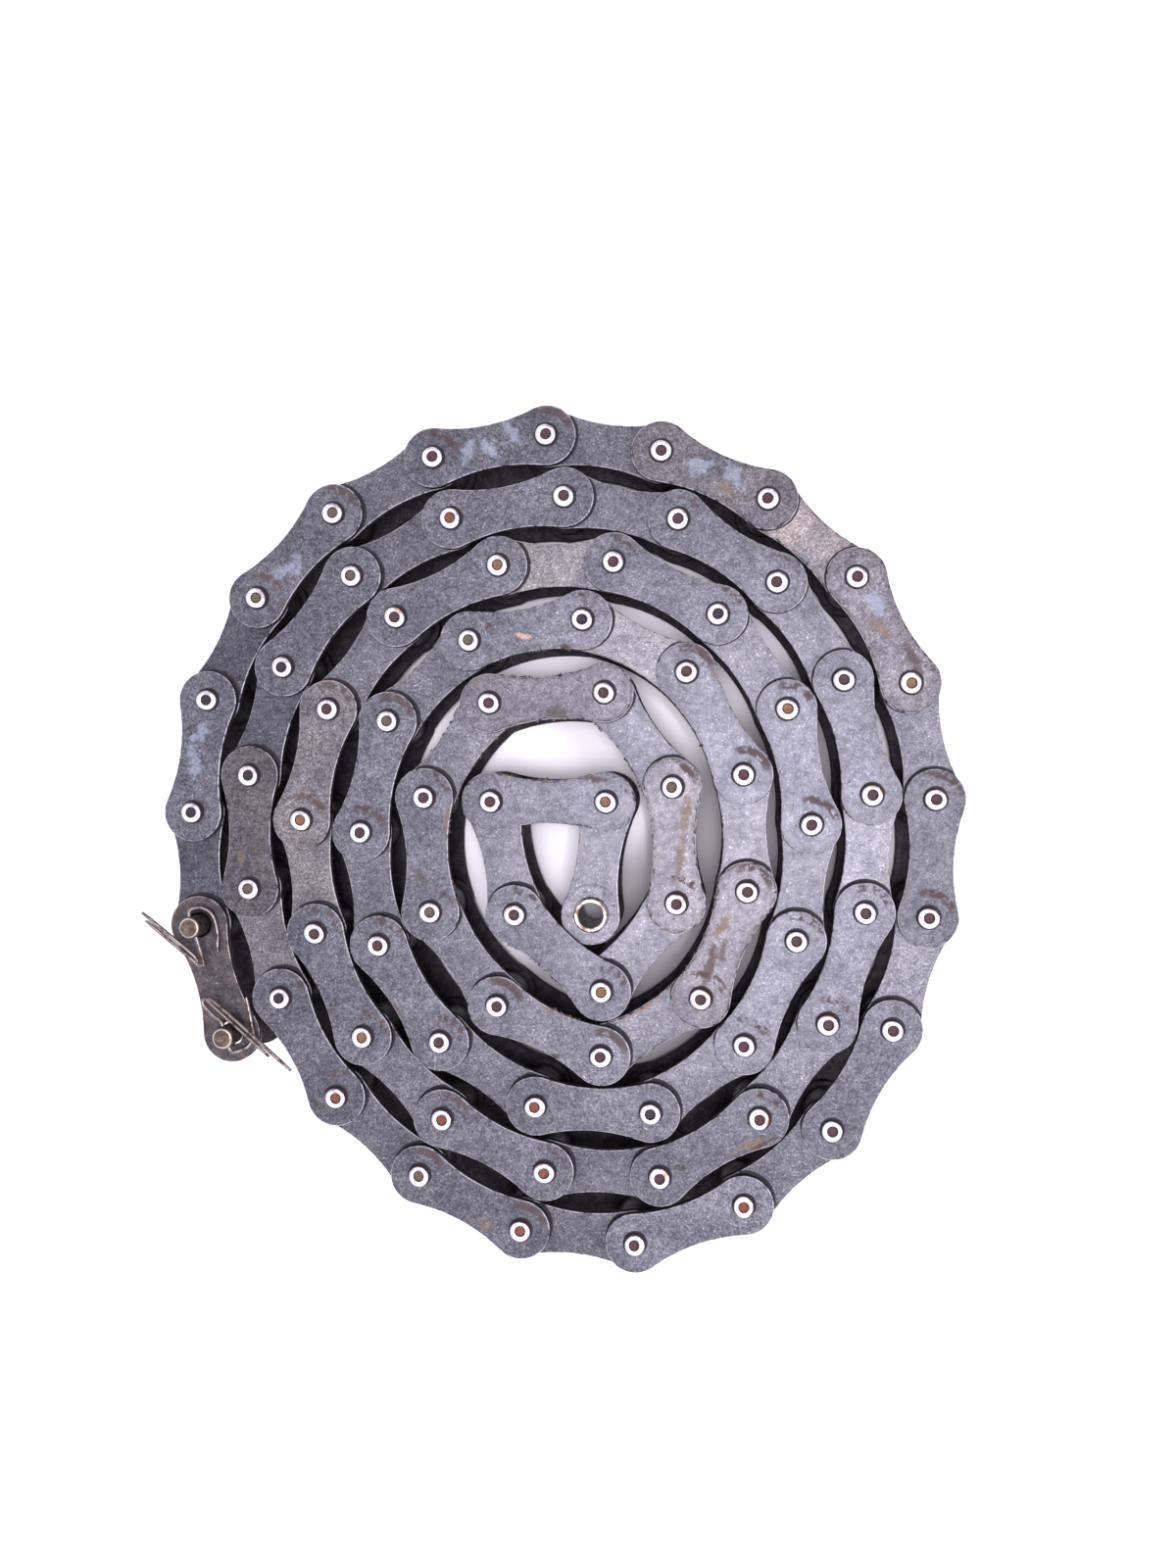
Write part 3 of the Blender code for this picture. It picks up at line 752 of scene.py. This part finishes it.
def plates_mesh(hole_radius, *spans):
    """Plates between pairs of heights, remembering where on the link each point lies."""
    plates = joined([plate_mesh(hole_radius, low, high) for low, high in spans])
    crisp_flats(plates)
    set_vectors(plates, "link_place", vertex_places(plates))
    return plates


def turned_mesh(profile, sides, closed=False):
    """A turned shape about Z from (radius, height) points. A closed profile makes a tube."""
    shape = bmesh.new()
    rings = []
    for radius, height in profile:
        if radius == 0:
            rings.append([shape.verts.new((0.0, 0.0, height))] * sides)
        else:
            rings.append([shape.verts.new((radius * cos(a), radius * sin(a), height))
                          for a in np.linspace(0, 2 * pi, sides, endpoint=False)])
    pairs = list(zip(rings, rings[1:]))
    if closed:
        pairs.append((rings[-1], rings[0]))
    for upper, lower in pairs:
        for step in range(sides):
            after = (step + 1) % sides
            corners = [upper[step], lower[step], lower[after], upper[after]]
            shape.faces.new(list(dict.fromkeys(corners)))
    bmesh.ops.recalc_face_normals(shape, faces=shape.faces)
    mesh = bpy.data.meshes.new("turned")
    shape.to_mesh(mesh)
    shape.free()
    return mesh


def riveted_pin_mesh(rng):
    """A pin riveted at both ends. Each head is a little out of round and its dimple a little off."""
    upper = [(radius, OUTER_OUTSIDE + height) for radius, height in HEAD_PROFILE]
    lower = [(radius, -height) for radius, height in reversed(upper)]
    mesh = turned_mesh(upper + lower, HEAD_SIDES)
    places = vertex_places(mesh)
    set_vectors(mesh, "pin_place", places)
    for side in (1, -1):
        shift = rng.normal(0.0, DIMPLE_SHIFT, 2)
        stretch = rng.normal(0.0, HEAD_STRETCH)
        lean = rng.uniform(0.0, pi)
        radius = np.hypot(places[:, 0], places[:, 1])
        on_head = (places[:, 2] * side > OUTER_OUTSIDE).astype(float)
        inner = on_head * np.clip((DIMPLE_REACH - radius) / DIMPLE_BLEND, 0.0, 1.0)
        places[:, :2] += inner[:, None] * shift
        angle = np.arctan2(places[:, 1], places[:, 0])
        places[:, :2] *= (1.0 + on_head * stretch * np.cos(2 * (angle - lean)))[:, None]
    mesh.vertices.foreach_set("co", places.ravel())
    return mesh


def at_both_pins(mesh):
    """A mesh at the link's first pin, and its copy at the second."""
    second = mesh.copy()
    second.transform(Matrix.Translation((PITCH, 0.0, 0.0)))
    return [mesh, second]


def tube_profile(inner, outer, half_height, chamfer):
    """Half a chamfered ring's section, mirrored: outside wall, then bore."""
    top = [(inner, half_height - chamfer), (inner + chamfer, half_height), (outer - chamfer, half_height),
           (outer, half_height - chamfer)]
    return top + [(radius, -height) for radius, height in reversed(top)]


def placed(name, mesh, matrix, material, body, nodes):
    """Make the finished piece: it stands in the world, rides on its body and stands for its nodes."""
    mesh.transform(matrix)
    mesh.materials.clear()
    mesh.materials.append(material)
    mesh.name = name
    piece = bpy.data.objects.new(name, mesh)
    bpy.context.scene.collection.objects.link(piece)
    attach(piece, body)
    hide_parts(*nodes)
    return piece


# How a link's plates differ from their neighbours: shade, warmth and rust along the edges.
OUTER_LOOK = (1.0, 0.10, 0.25)
INNER_LOOK = (1.0, 0.15, 0.20)
LINK_LOOKS = {
    2: (0.80, 0.0, 0.2), 4: (0.75, 0.0, 0.1), 5: (1.15, 0.1, 0.5), 9: (0.95, 0.4, 0.7),
    10: (1.30, 1.0, 0.9), 11: (1.0, 0.35, 0.8), 13: (0.70, 0.1, 0.4), 17: (1.20, 0.1, 0.2),
    22: (1.15, 0.4, 0.2), 23: (0.75, 0.4, 0.5), 24: (0.70, 0.0, 0.1), 32: (1.25, 0.2, 0.2),
    40: (1.20, 0.6, 0.3), 41: (1.25, 0.5, 0.4), 44: (1.15, 0.6, 0.2), 58: (1.30, 0.5, 0.3),
    61: (0.90, 0.35, 0.8), 62: (1.05, 0.2, 0.6),
    67: (0.90, 0.3, 0.8), 68: (0.85, 0.1, 0.3), 69: (0.90, 0.40, 0.9), 71: (0.90, 0.1, 0.2),
    73: (1.0, 0.1, 0.5),
}

# Stains on the upper plates: place along and across the link, half length and half width (all in
# millimetres), turn in degrees, strength and colour.
MARKS = {
    3: ((19.0, 2.2, 7.5, 3.2, 20, 0.50, PALE_SMEAR), (29.5, 0.8, 5.0, 3.0, -30, 0.50, PALE_SMEAR)),
    5: ((14.0, -0.5, 6.5, 2.6, -35, 0.50, PALE_SMEAR), (19.0, -3.0, 4.5, 2.2, 50, 0.45, PALE_SMEAR),
        (4.0, -9.0, 1.8, 1.4, 0, 0.8, RUST)),
    7: ((12.5, -0.3, 5.5, 2.8, 70, 0.50, PALE_SMEAR), (20.5, -0.8, 4.5, 2.6, -50, 0.50, PALE_SMEAR),
        (30.0, 2.6, 5.5, 2.2, -65, 0.45, PALE_SMEAR)),
    9: ((14.5, 1.0, 5.5, 3.6, 30, 0.50, PALE_SMEAR), (26.5, -2.6, 5.0, 2.6, -20, 0.50, OCHRE),
        (27.5, 2.6, 6.0, 3.4, -40, 0.45, PALE_SMEAR)),
    11: ((11.0, 2.0, 6.0, 3.5, 10, 0.50, PALE_SMEAR), (19.0, -1.0, 6.5, 2.2, 20, 0.60, OCHRE),
         (33.0, 4.5, 8.0, 2.2, 0, 0.75, DARK_RUST)),
    19: ((12.0, 4.0, 5.0, 2.5, 10, 0.4, OCHRE),),
    23: ((16.2, -1.7, 7.0, 3.5, 20, 0.6, OLD_OIL), (12.0, 3.0, 4.0, 2.0, 0, 0.5, OCHRE)),
    35: ((7.0, 6.5, 8.0, 1.6, -8, 0.7, OCHRE), (4.0, 8.5, 6.0, 0.9, 0, 0.9, DARK_RUST)),
    53: ((17.9, 6.7, 4.2, 1.0, -5, 0.6, RED_BROWN),),
    57: ((19.3, -1.9, 3.1, 1.1, -24, 1.0, PINK_BEIGE), (33.1, -8.4, 3.4, 1.3, -15, 0.9, DARK_RUST)),
    59: ((-3.0, 8.4, 4.5, 1.4, 15, 0.8, DARK_RUST), (6.0, 8.5, 3.0, 1.4, 0, 0.5, OCHRE)),
    61: ((29.5, -1.7, 8.5, 2.0, 7, 0.75, RED_BROWN), (15.0, -3.2, 6.5, 1.9, -5, 0.55, OCHRE),
         (23.0, 0.6, 5.5, 1.3, 14, 0.5, RUST)),
    62: ((20.3, -8.3, 10.5, 2.2, -4, 0.75, ORANGE_BROWN),),
    63: ((15.1, 7.4, 2.6, 1.6, 14, 0.8, DARK_RUST), (24.2, -6.8, 3.8, 1.2, -3, 0.6, OCHRE)),
    65: ((33.9, -8.3, 6.5, 1.5, -11, 0.55, OCHRE), (12.5, 2.3, 3.4, 1.8, 23, 0.6, OLD_OIL)),
    67: ((24.4, -5.5, 5.0, 2.8, -15, 0.60, OLD_OIL), (-6.0, 8.8, 3.4, 1.0, -47, 0.8, OCHRE)),
    69: ((10.0, 4.4, 8.0, 2.0, -13, 0.50, OCHRE), (25.0, 1.8, 9.0, 1.8, -6, 0.50, OCHRE),
         (-5.5, 5.8, 4.4, 1.4, 45, 0.9, DARK_RUST)),
    73: ((38.0, 8.2, 5.0, 1.5, -6, 0.75, DARK_RUST),),
}
MARKS_A_LINK = 3
NO_MARK = (0.0, 0.0, 1.0, 1.0, 0.0, 0.0, GRIME_AND_SHADE)

# How much a link's shade drifts at random, and how strongly an outer link's dirty crescents show.
SHADE_DRIFT = 0.06
SCUFFING = (-0.3, 1.0)


def link_look(link, rng):
    """A link's own shade drifts a little at random round the state that is noted for it."""
    shade, warmth, rust = LINK_LOOKS.get(link, OUTER_LOOK if link % 2 else INNER_LOOK)
    return shade * rng.normal(1.0, SHADE_DRIFT), warmth, rust


def dress_plates(mesh, link, rng):
    """Note on a link's plates how they look, which side of their pins takes dirt and painted shadow,
    and their stains.
    """
    set_vectors(mesh, "link_look", link_look(link, rng))
    dirty_and_shaded_side = radians(DIRTY_AND_SHADED_SIDE_DEGREES) - heading(link)
    set_vectors(mesh, "dirty_and_shaded_side", (cos(dirty_and_shaded_side), sin(dirty_and_shaded_side), 0.0))
    places = vertex_places(mesh)
    upper = places[:, 2:] > 0
    set_numbers(mesh, "scuffed", np.full(len(places), link % 2 * rng.uniform(*SCUFFING)))
    set_numbers(mesh, "overlapped", (places[:, 0] < HALF_PITCH) | (link != LAST_LINK))
    marks = list(MARKS.get(link, ()))
    marks += [NO_MARK] * (MARKS_A_LINK - len(marks))
    for number, (along, across, half_length, half_width, turn, strength, colour) in enumerate(marks, 1):
        set_vectors(mesh, f"mark_{number}", (along, across, strength) * upper)
        set_vectors(mesh, f"mark_{number}_size", (half_length, half_width, radians(turn)))
        set_vectors(mesh, f"mark_{number}_colour", colour)


# The kinds of what the riveted heads' dimples hold: 0.05 black grease, 0.5 olive, 0.7 red rust and
# 0.9 gold at the pins given here, and brown at all the others.
DIMPLE_KINDS = {0.05: (2, 3, 21, 23, 24, 45, 57, 50), 0.5: (4, 5, 19, 22, 25, 55, 56, 64, 68),
                0.7: (16, 18, 20, 26, 36, 37, 51), 0.9: (11, 38, 40, 43, 46, 70, 73)}
BROWN_DIMPLE = 0.3
STAINED_HEADS = (31, 33, 34, 35, 42, 61, 69, 71)
HEAD_STAIN = 0.8

# The side of the pins on which dirt, painted shade and painted shadow lie, seen from above, and how
# much it drifts from pin to pin.
DIRTY_AND_SHADED_SIDE_DEGREES = 60.0
DIRTY_AND_SHADED_SIDE_DRIFT = 25.0


def dress_pin(mesh, pin, turned, rng):
    """Note what a pin's head holds, and its side of dirt and painted shade, whichever way the pin itself
    is turned.
    """
    kind = next((value for value, pins in DIMPLE_KINDS.items() if pin in pins), BROWN_DIMPLE)
    stain = HEAD_STAIN if pin in STAINED_HEADS else 0.0
    dirty_and_shaded_side = radians(rng.normal(DIRTY_AND_SHADED_SIDE_DEGREES, DIRTY_AND_SHADED_SIDE_DRIFT)) - turned
    set_vectors(mesh, "pin_look", (kind, stain, dirty_and_shaded_side))


def build_outer_link(link, template, materials, rng):
    """Two plates on two riveted pins."""
    body, node = body_of_link(link), outer_link_node(link)
    plates = template.copy()
    dress_plates(plates, link, rng)
    placed(f"outer_plates_{link:02d}", plates, link_matrix(link), materials["outer"], body, [node])
    pins = []
    for pin, x in ((link - 1, 0.0), (link, PITCH)):
        mesh = riveted_pin_mesh(rng)
        spin = rng.uniform(0, 2 * pi)
        dress_pin(mesh, pin, spin + heading(link), rng)
        mesh.transform(Matrix.Translation((x, 0.0, 0.0)) @ Matrix.Rotation(spin, 4, "Z"))
        pins.append(mesh)
    placed(f"riveted_pins_{link:02d}", joined(pins, sharp_degrees=50), link_matrix(link),
           materials["pin"], body, [node])


def build_inner_link(link, template, materials, rng):
    """Two plates on two bushes, with a roller round each bush."""
    body, node = body_of_link(link), inner_link_node(link)
    plates = template.copy()
    dress_plates(plates, link, rng)
    matrix = link_matrix(link)
    placed(f"inner_plates_{link:02d}", plates, matrix, materials["inner"], body, [node])
    bush = tube_profile(BUSH_BORE_RADIUS, BUSH_RADIUS - BUSH_FIT_GAP, INNER_OUTSIDE - BUSH_END_GAP,
                        BUSH_CHAMFER)
    bushes = at_both_pins(turned_mesh(bush, BORE_SIDES, closed=True))
    placed(f"pressed_bushes_{link:02d}", joined(bushes), matrix, materials["bush"], body, [node])

    ring = tube_profile(ROLLER_BORE_RADIUS, ROLLER_RADIUS, INNER_FACE - ROLLER_END_GAP, ROLLER_CHAMFER)
    rollers = at_both_pins(turned_mesh(ring, ROLLER_SIDES, closed=True))
    if body == "root":
        placed(f"wound_rollers_{link:02d}", joined(rollers), matrix, materials["roller"], body, [node])
        return
    sides = ("a", "b") if link == LAST_LINK else ("b", "a")
    for side, mesh in zip(sides, rollers):
        roller = f"roller_{link:02d}_{side}"
        placed(f"turned_{roller}", joined([mesh]), matrix, materials["roller"], roller, [roller])


# Links round the eye whose edges carry crumbs of old grease: 1 is the edge on the link's left, and
# an edge noted three times carries three times as many.
GRITTY_EDGES = {57: (-1,), 59: (-1,), 60: (-1,), 61: (-1,), 63: (-1,), 65: (-1,), 66: (-1, 1),
                67: (-1, 1), 68: (-1,), 71: (1,), 73: (1, 1, 1)}
CRUMBS_AN_EDGE = 34
HEAPS_AN_EDGE = 5
HEAP_SPREAD = 0.0016
HEAP_END_GAP = 0.004
CRUMB_SIZE = 0.00028
CRUMB_STRETCH = 1.9
CRUMB_OUTWARD = (-0.00010, 0.00012)
CRUMB_DEPTH = (0.0001, 0.0016)


def edge_across(along):
    """How far a link plate's edge lies from the line between its pins."""
    from_middle = abs(along - HALF_PITCH)
    if from_middle < HALF_PITCH * WAIST_RADIUS / (WAIST_RADIUS + END_RADIUS):
        return WAIST_CENTRE - (WAIST_RADIUS**2 - from_middle**2)**0.5
    return (END_RADIUS**2 - (HALF_PITCH - from_middle)**2)**0.5


def crumb_mesh(rng):
    """One small lump, flattened and knobbly."""
    shape = bmesh.new()
    bmesh.ops.create_icosphere(shape, subdivisions=1, radius=1.0)
    for corner in shape.verts:
        corner.co *= rng.uniform(0.65, 1.25)
    mesh = bpy.data.meshes.new("crumb")
    shape.to_mesh(mesh)
    shape.free()
    size = CRUMB_SIZE * rng.lognormal(0.0, 0.40)
    turn = Matrix.Rotation(rng.uniform(0.0, pi), 4, "Z")
    mesh.transform(turn @ Matrix.Diagonal((CRUMB_STRETCH * size, size, size, 1.0)))
    return mesh


def build_grit(link, sides, material, rng):
    """Crumbs gathered here and there along the upper plate's edges."""
    outside = OUTER_OUTSIDE if link % 2 else INNER_OUTSIDE
    crumbs = []
    for side in sides:
        heaps = rng.uniform(HEAP_END_GAP, PITCH - HEAP_END_GAP, HEAPS_AN_EDGE)
        for _ in range(CRUMBS_AN_EDGE):
            along = rng.choice(heaps) + rng.normal(0.0, HEAP_SPREAD)
            across = side * (edge_across(along) + rng.uniform(*CRUMB_OUTWARD))
            height = outside - rng.uniform(*CRUMB_DEPTH)
            crumb = crumb_mesh(rng)
            crumb.transform(Matrix.Translation((along, across, height)))
            crumbs.append(crumb)
    placed(f"edge_grit_{link}", joined(crumbs), link_matrix(link), material, "root",
           [outer_link_node(link) if link % 2 else inner_link_node(link)])


def cut_cross_hole(mesh):
    """Drill the cotter's hole through a long pin, along X."""
    pin = bpy.data.objects.new("long_pin", mesh)
    bpy.context.scene.collection.objects.link(pin)
    drill = bpy.data.objects.new("drill", turned_mesh(
        ((0.0, 2 * PIN_RADIUS), (CROSS_HOLE_RADIUS, 2 * PIN_RADIUS),
         (CROSS_HOLE_RADIUS, -2 * PIN_RADIUS), (0.0, -2 * PIN_RADIUS)), DRILL_SIDES))
    bpy.context.scene.collection.objects.link(drill)
    across = Matrix.Rotation(pi / 2, 4, "Y")
    drill.matrix_world = Matrix.Translation((0.0, 0.0, HOLE_HEIGHT)) @ across
    cut = pin.modifiers.new("cut", "BOOLEAN")
    cut.operation = "DIFFERENCE"
    cut.object = drill
    depsgraph = bpy.context.evaluated_depsgraph_get()
    drilled = bpy.data.meshes.new_from_object(pin.evaluated_get(depsgraph))
    for used in (pin, drill):
        bpy.data.objects.remove(used, do_unlink=True)
    return drilled


def long_pin_mesh():
    """A long pin: riveted below, chamfered on top, with its cross hole."""
    top = ((0.0, LONG_PIN_TOP - 0.0002), (0.0016, LONG_PIN_TOP - 0.0001), (0.0030, LONG_PIN_TOP),
           (0.0033, LONG_PIN_TOP - 0.0001), (PIN_RADIUS - 0.0001, LONG_PIN_TOP - 0.0010),
           (PIN_RADIUS - 0.0001, OUTER_OUTSIDE))
    lower = [(radius, -OUTER_OUTSIDE - height) for radius, height in reversed(HEAD_PROFILE)]
    mesh = cut_cross_hole(turned_mesh(list(top) + lower, HEAD_SIDES))
    set_vectors(mesh, "pin_place", vertex_places(mesh))
    return mesh


def smooth_route(points, steps=6):
    """A Catmull-Rom curve through the points."""
    knots = [Vector(point) for point in points]
    knots = [2 * knots[0] - knots[1]] + knots + [2 * knots[-1] - knots[-2]]
    route = []
    for before, start, end, after in zip(knots, knots[1:], knots[2:], knots[3:]):
        for step in range(steps):
            t = step / steps
            route.append(0.5 * (2 * start + (end - before) * t
                                + (2 * before - 5 * start + 4 * end - after) * t**2
                                + (3 * start - before - 3 * end + after) * t**3))
    return route + [knots[-2]]


def wire_mesh(points):
    """A cotter's leg as a round wire with rounded tips."""
    route = smooth_route(points)
    curve = bpy.data.curves.new("wire", "CURVE")
    curve.dimensions = "3D"
    curve.bevel_depth = COTTER_WIRE_RADIUS
    curve.bevel_resolution = 3
    curve.use_fill_caps = True
    spline = curve.splines.new("POLY")
    spline.points.add(len(route) - 1)
    for index, (knot, place) in enumerate(zip(spline.points, route)):
        knot.co = (*place, 1.0)
        knot.radius = 0.7 if index in (0, len(route) - 1) else 1.0
    return closed_mesh(bpy.data.objects.new("wire", curve))


def build_connecting_link(materials):
    """Link 1: lower plate with two long pins, loose cover plate and two split cotters."""
    body = body_of_link(1)
    matrix = link_matrix(1)
    node = outer_link_node(1)
    rng = np.random.default_rng(1)
    lower = plates_mesh(0.0, (-OUTER_OUTSIDE, -OUTER_FACE))
    dress_plates(lower, 1, rng)
    placed("lower_plate_01", lower, matrix, materials["outer"], body, [node])

    long_pins = at_both_pins(long_pin_mesh())
    placed("long_pins_01", joined(long_pins, sharp_degrees=35), matrix, materials["long_pin"], body,
           [node])

    cover = plates_mesh(COVER_BORE_RADIUS, (OUTER_FACE, OUTER_OUTSIDE))
    dress_plates(cover, 1, rng)
    placed("cover_plate_01", cover, matrix, materials["cover"], body, ["connecting_link_cover"])

    from_hinge = matrix @ Matrix.Translation((PITCH, 0.0, 0.0)) @ Matrix.Rotation(pi, 4, "Z")
    for side, run, strand in (("a", COTTER_A_RUN, COTTER_A_STRAND), ("b", COTTER_B_RUN, COTTER_B_STRAND)):
        legs = joined([wire_mesh(leg) for leg in (run, strand)], sharp_degrees=50)
        placed(f"split_cotter_{side}", legs, from_hinge, materials["cotter"], body, [f"cotter_{side}"])


def build_chain():
    """All the links, each with its own random numbers."""
    materials = {
        "outer": plate_steel("outer_plate_skin", OUTER_STEEL, OUTER_WARM, OUTER_CONTACTS),
        "inner": plate_steel("inner_plate_skin", INNER_STEEL, INNER_WARM, INNER_CONTACTS),
        "pin": riveted_steel("riveted_pin_steel"),
        "roller": greasy_steel("greasy_roller_steel", (0.022, 0.021, 0.026), (0.040, 0.028, 0.024)),
        "bush": bush_steel("bronzed_bush_steel"),
        "cover": cover_steel("oily_cover_steel"),
        "long_pin": long_pin_steel("brassy_pin_steel"),
        "cotter": cotter_wire("dull_cotter_wire"),
        "grit": old_grease("old_grease_crumbs"),
    }
    outer_template = plates_mesh(0.0, (OUTER_FACE, OUTER_OUTSIDE), (-OUTER_OUTSIDE, -OUTER_FACE))
    inner_template = plates_mesh(BUSH_RADIUS, (INNER_FACE, INNER_OUTSIDE), (-INNER_OUTSIDE, -INNER_FACE))
    build_connecting_link(materials)
    for link in range(2, LAST_LINK + 1):
        rng = np.random.default_rng(link)
        if link % 2:
            build_outer_link(link, outer_template, materials, rng)
        else:
            build_inner_link(link, inner_template, materials, rng)
        if link in GRITTY_EDGES:
            build_grit(link, GRITTY_EDGES[link], materials["grit"], rng)
    bpy.data.meshes.remove(outer_template)
    bpy.data.meshes.remove(inner_template)


def build_floor():
    bpy.ops.mesh.primitive_plane_add(size=FLOOR_SIZE, location=(0.0, 0.0, 0.0))
    floor = bpy.context.active_object
    floor.name = "ground"
    floor.data.materials.append(floor_paper("white_ground"))


SKY_STRENGTH = 1.05

# The soft lamps: name, place and width in metres, and watts.
LAMPS = (
    ("ceiling", (0.09, -0.08, 1.50), 0.50, 18.5),
    ("side_window", (1.05, -0.20, 1.20), 0.45, 14.0),
    ("low_window", (0.25, -1.35, 0.65), 0.40, 5.0))


def add_area_light(name, place, size, watts, colour):
    """A square soft light that faces the coil."""
    data = bpy.data.lights.new(name, "AREA")
    data.size = size
    data.energy = watts
    data.color = colour
    light = bpy.data.objects.new(name, data)
    light.location = place
    light.rotation_euler = (-Vector(place)).to_track_quat("-Z", "Y").to_euler()
    bpy.context.scene.collection.objects.link(light)


def build_light():
    world = bpy.data.worlds.new("bright_sky")
    world.use_nodes = True
    world.node_tree.nodes["Background"].inputs["Color"].default_value = (*LILAC_WHITE, 1.0)
    world.node_tree.nodes["Background"].inputs["Strength"].default_value = SKY_STRENGTH
    bpy.context.scene.world = world
    for name, place, size, watts in LAMPS:
        add_area_light(name, place, size, watts, LILAC_WHITE)


def build_camera():
    data = bpy.data.cameras.new("overhead_camera")
    data.lens = CAMERA_LENS
    data.clip_start = 0.01
    camera = bpy.data.objects.new("overhead_camera", data)
    camera.location = CAMERA_PLACE
    camera.rotation_euler = [radians(turn) for turn in CAMERA_TURN_DEGREES]
    bpy.context.scene.collection.objects.link(camera)
    bpy.context.scene.camera = camera
    bpy.context.scene.view_settings.view_transform = "Standard"


build_camera()
build_chain()
build_floor()
build_light()
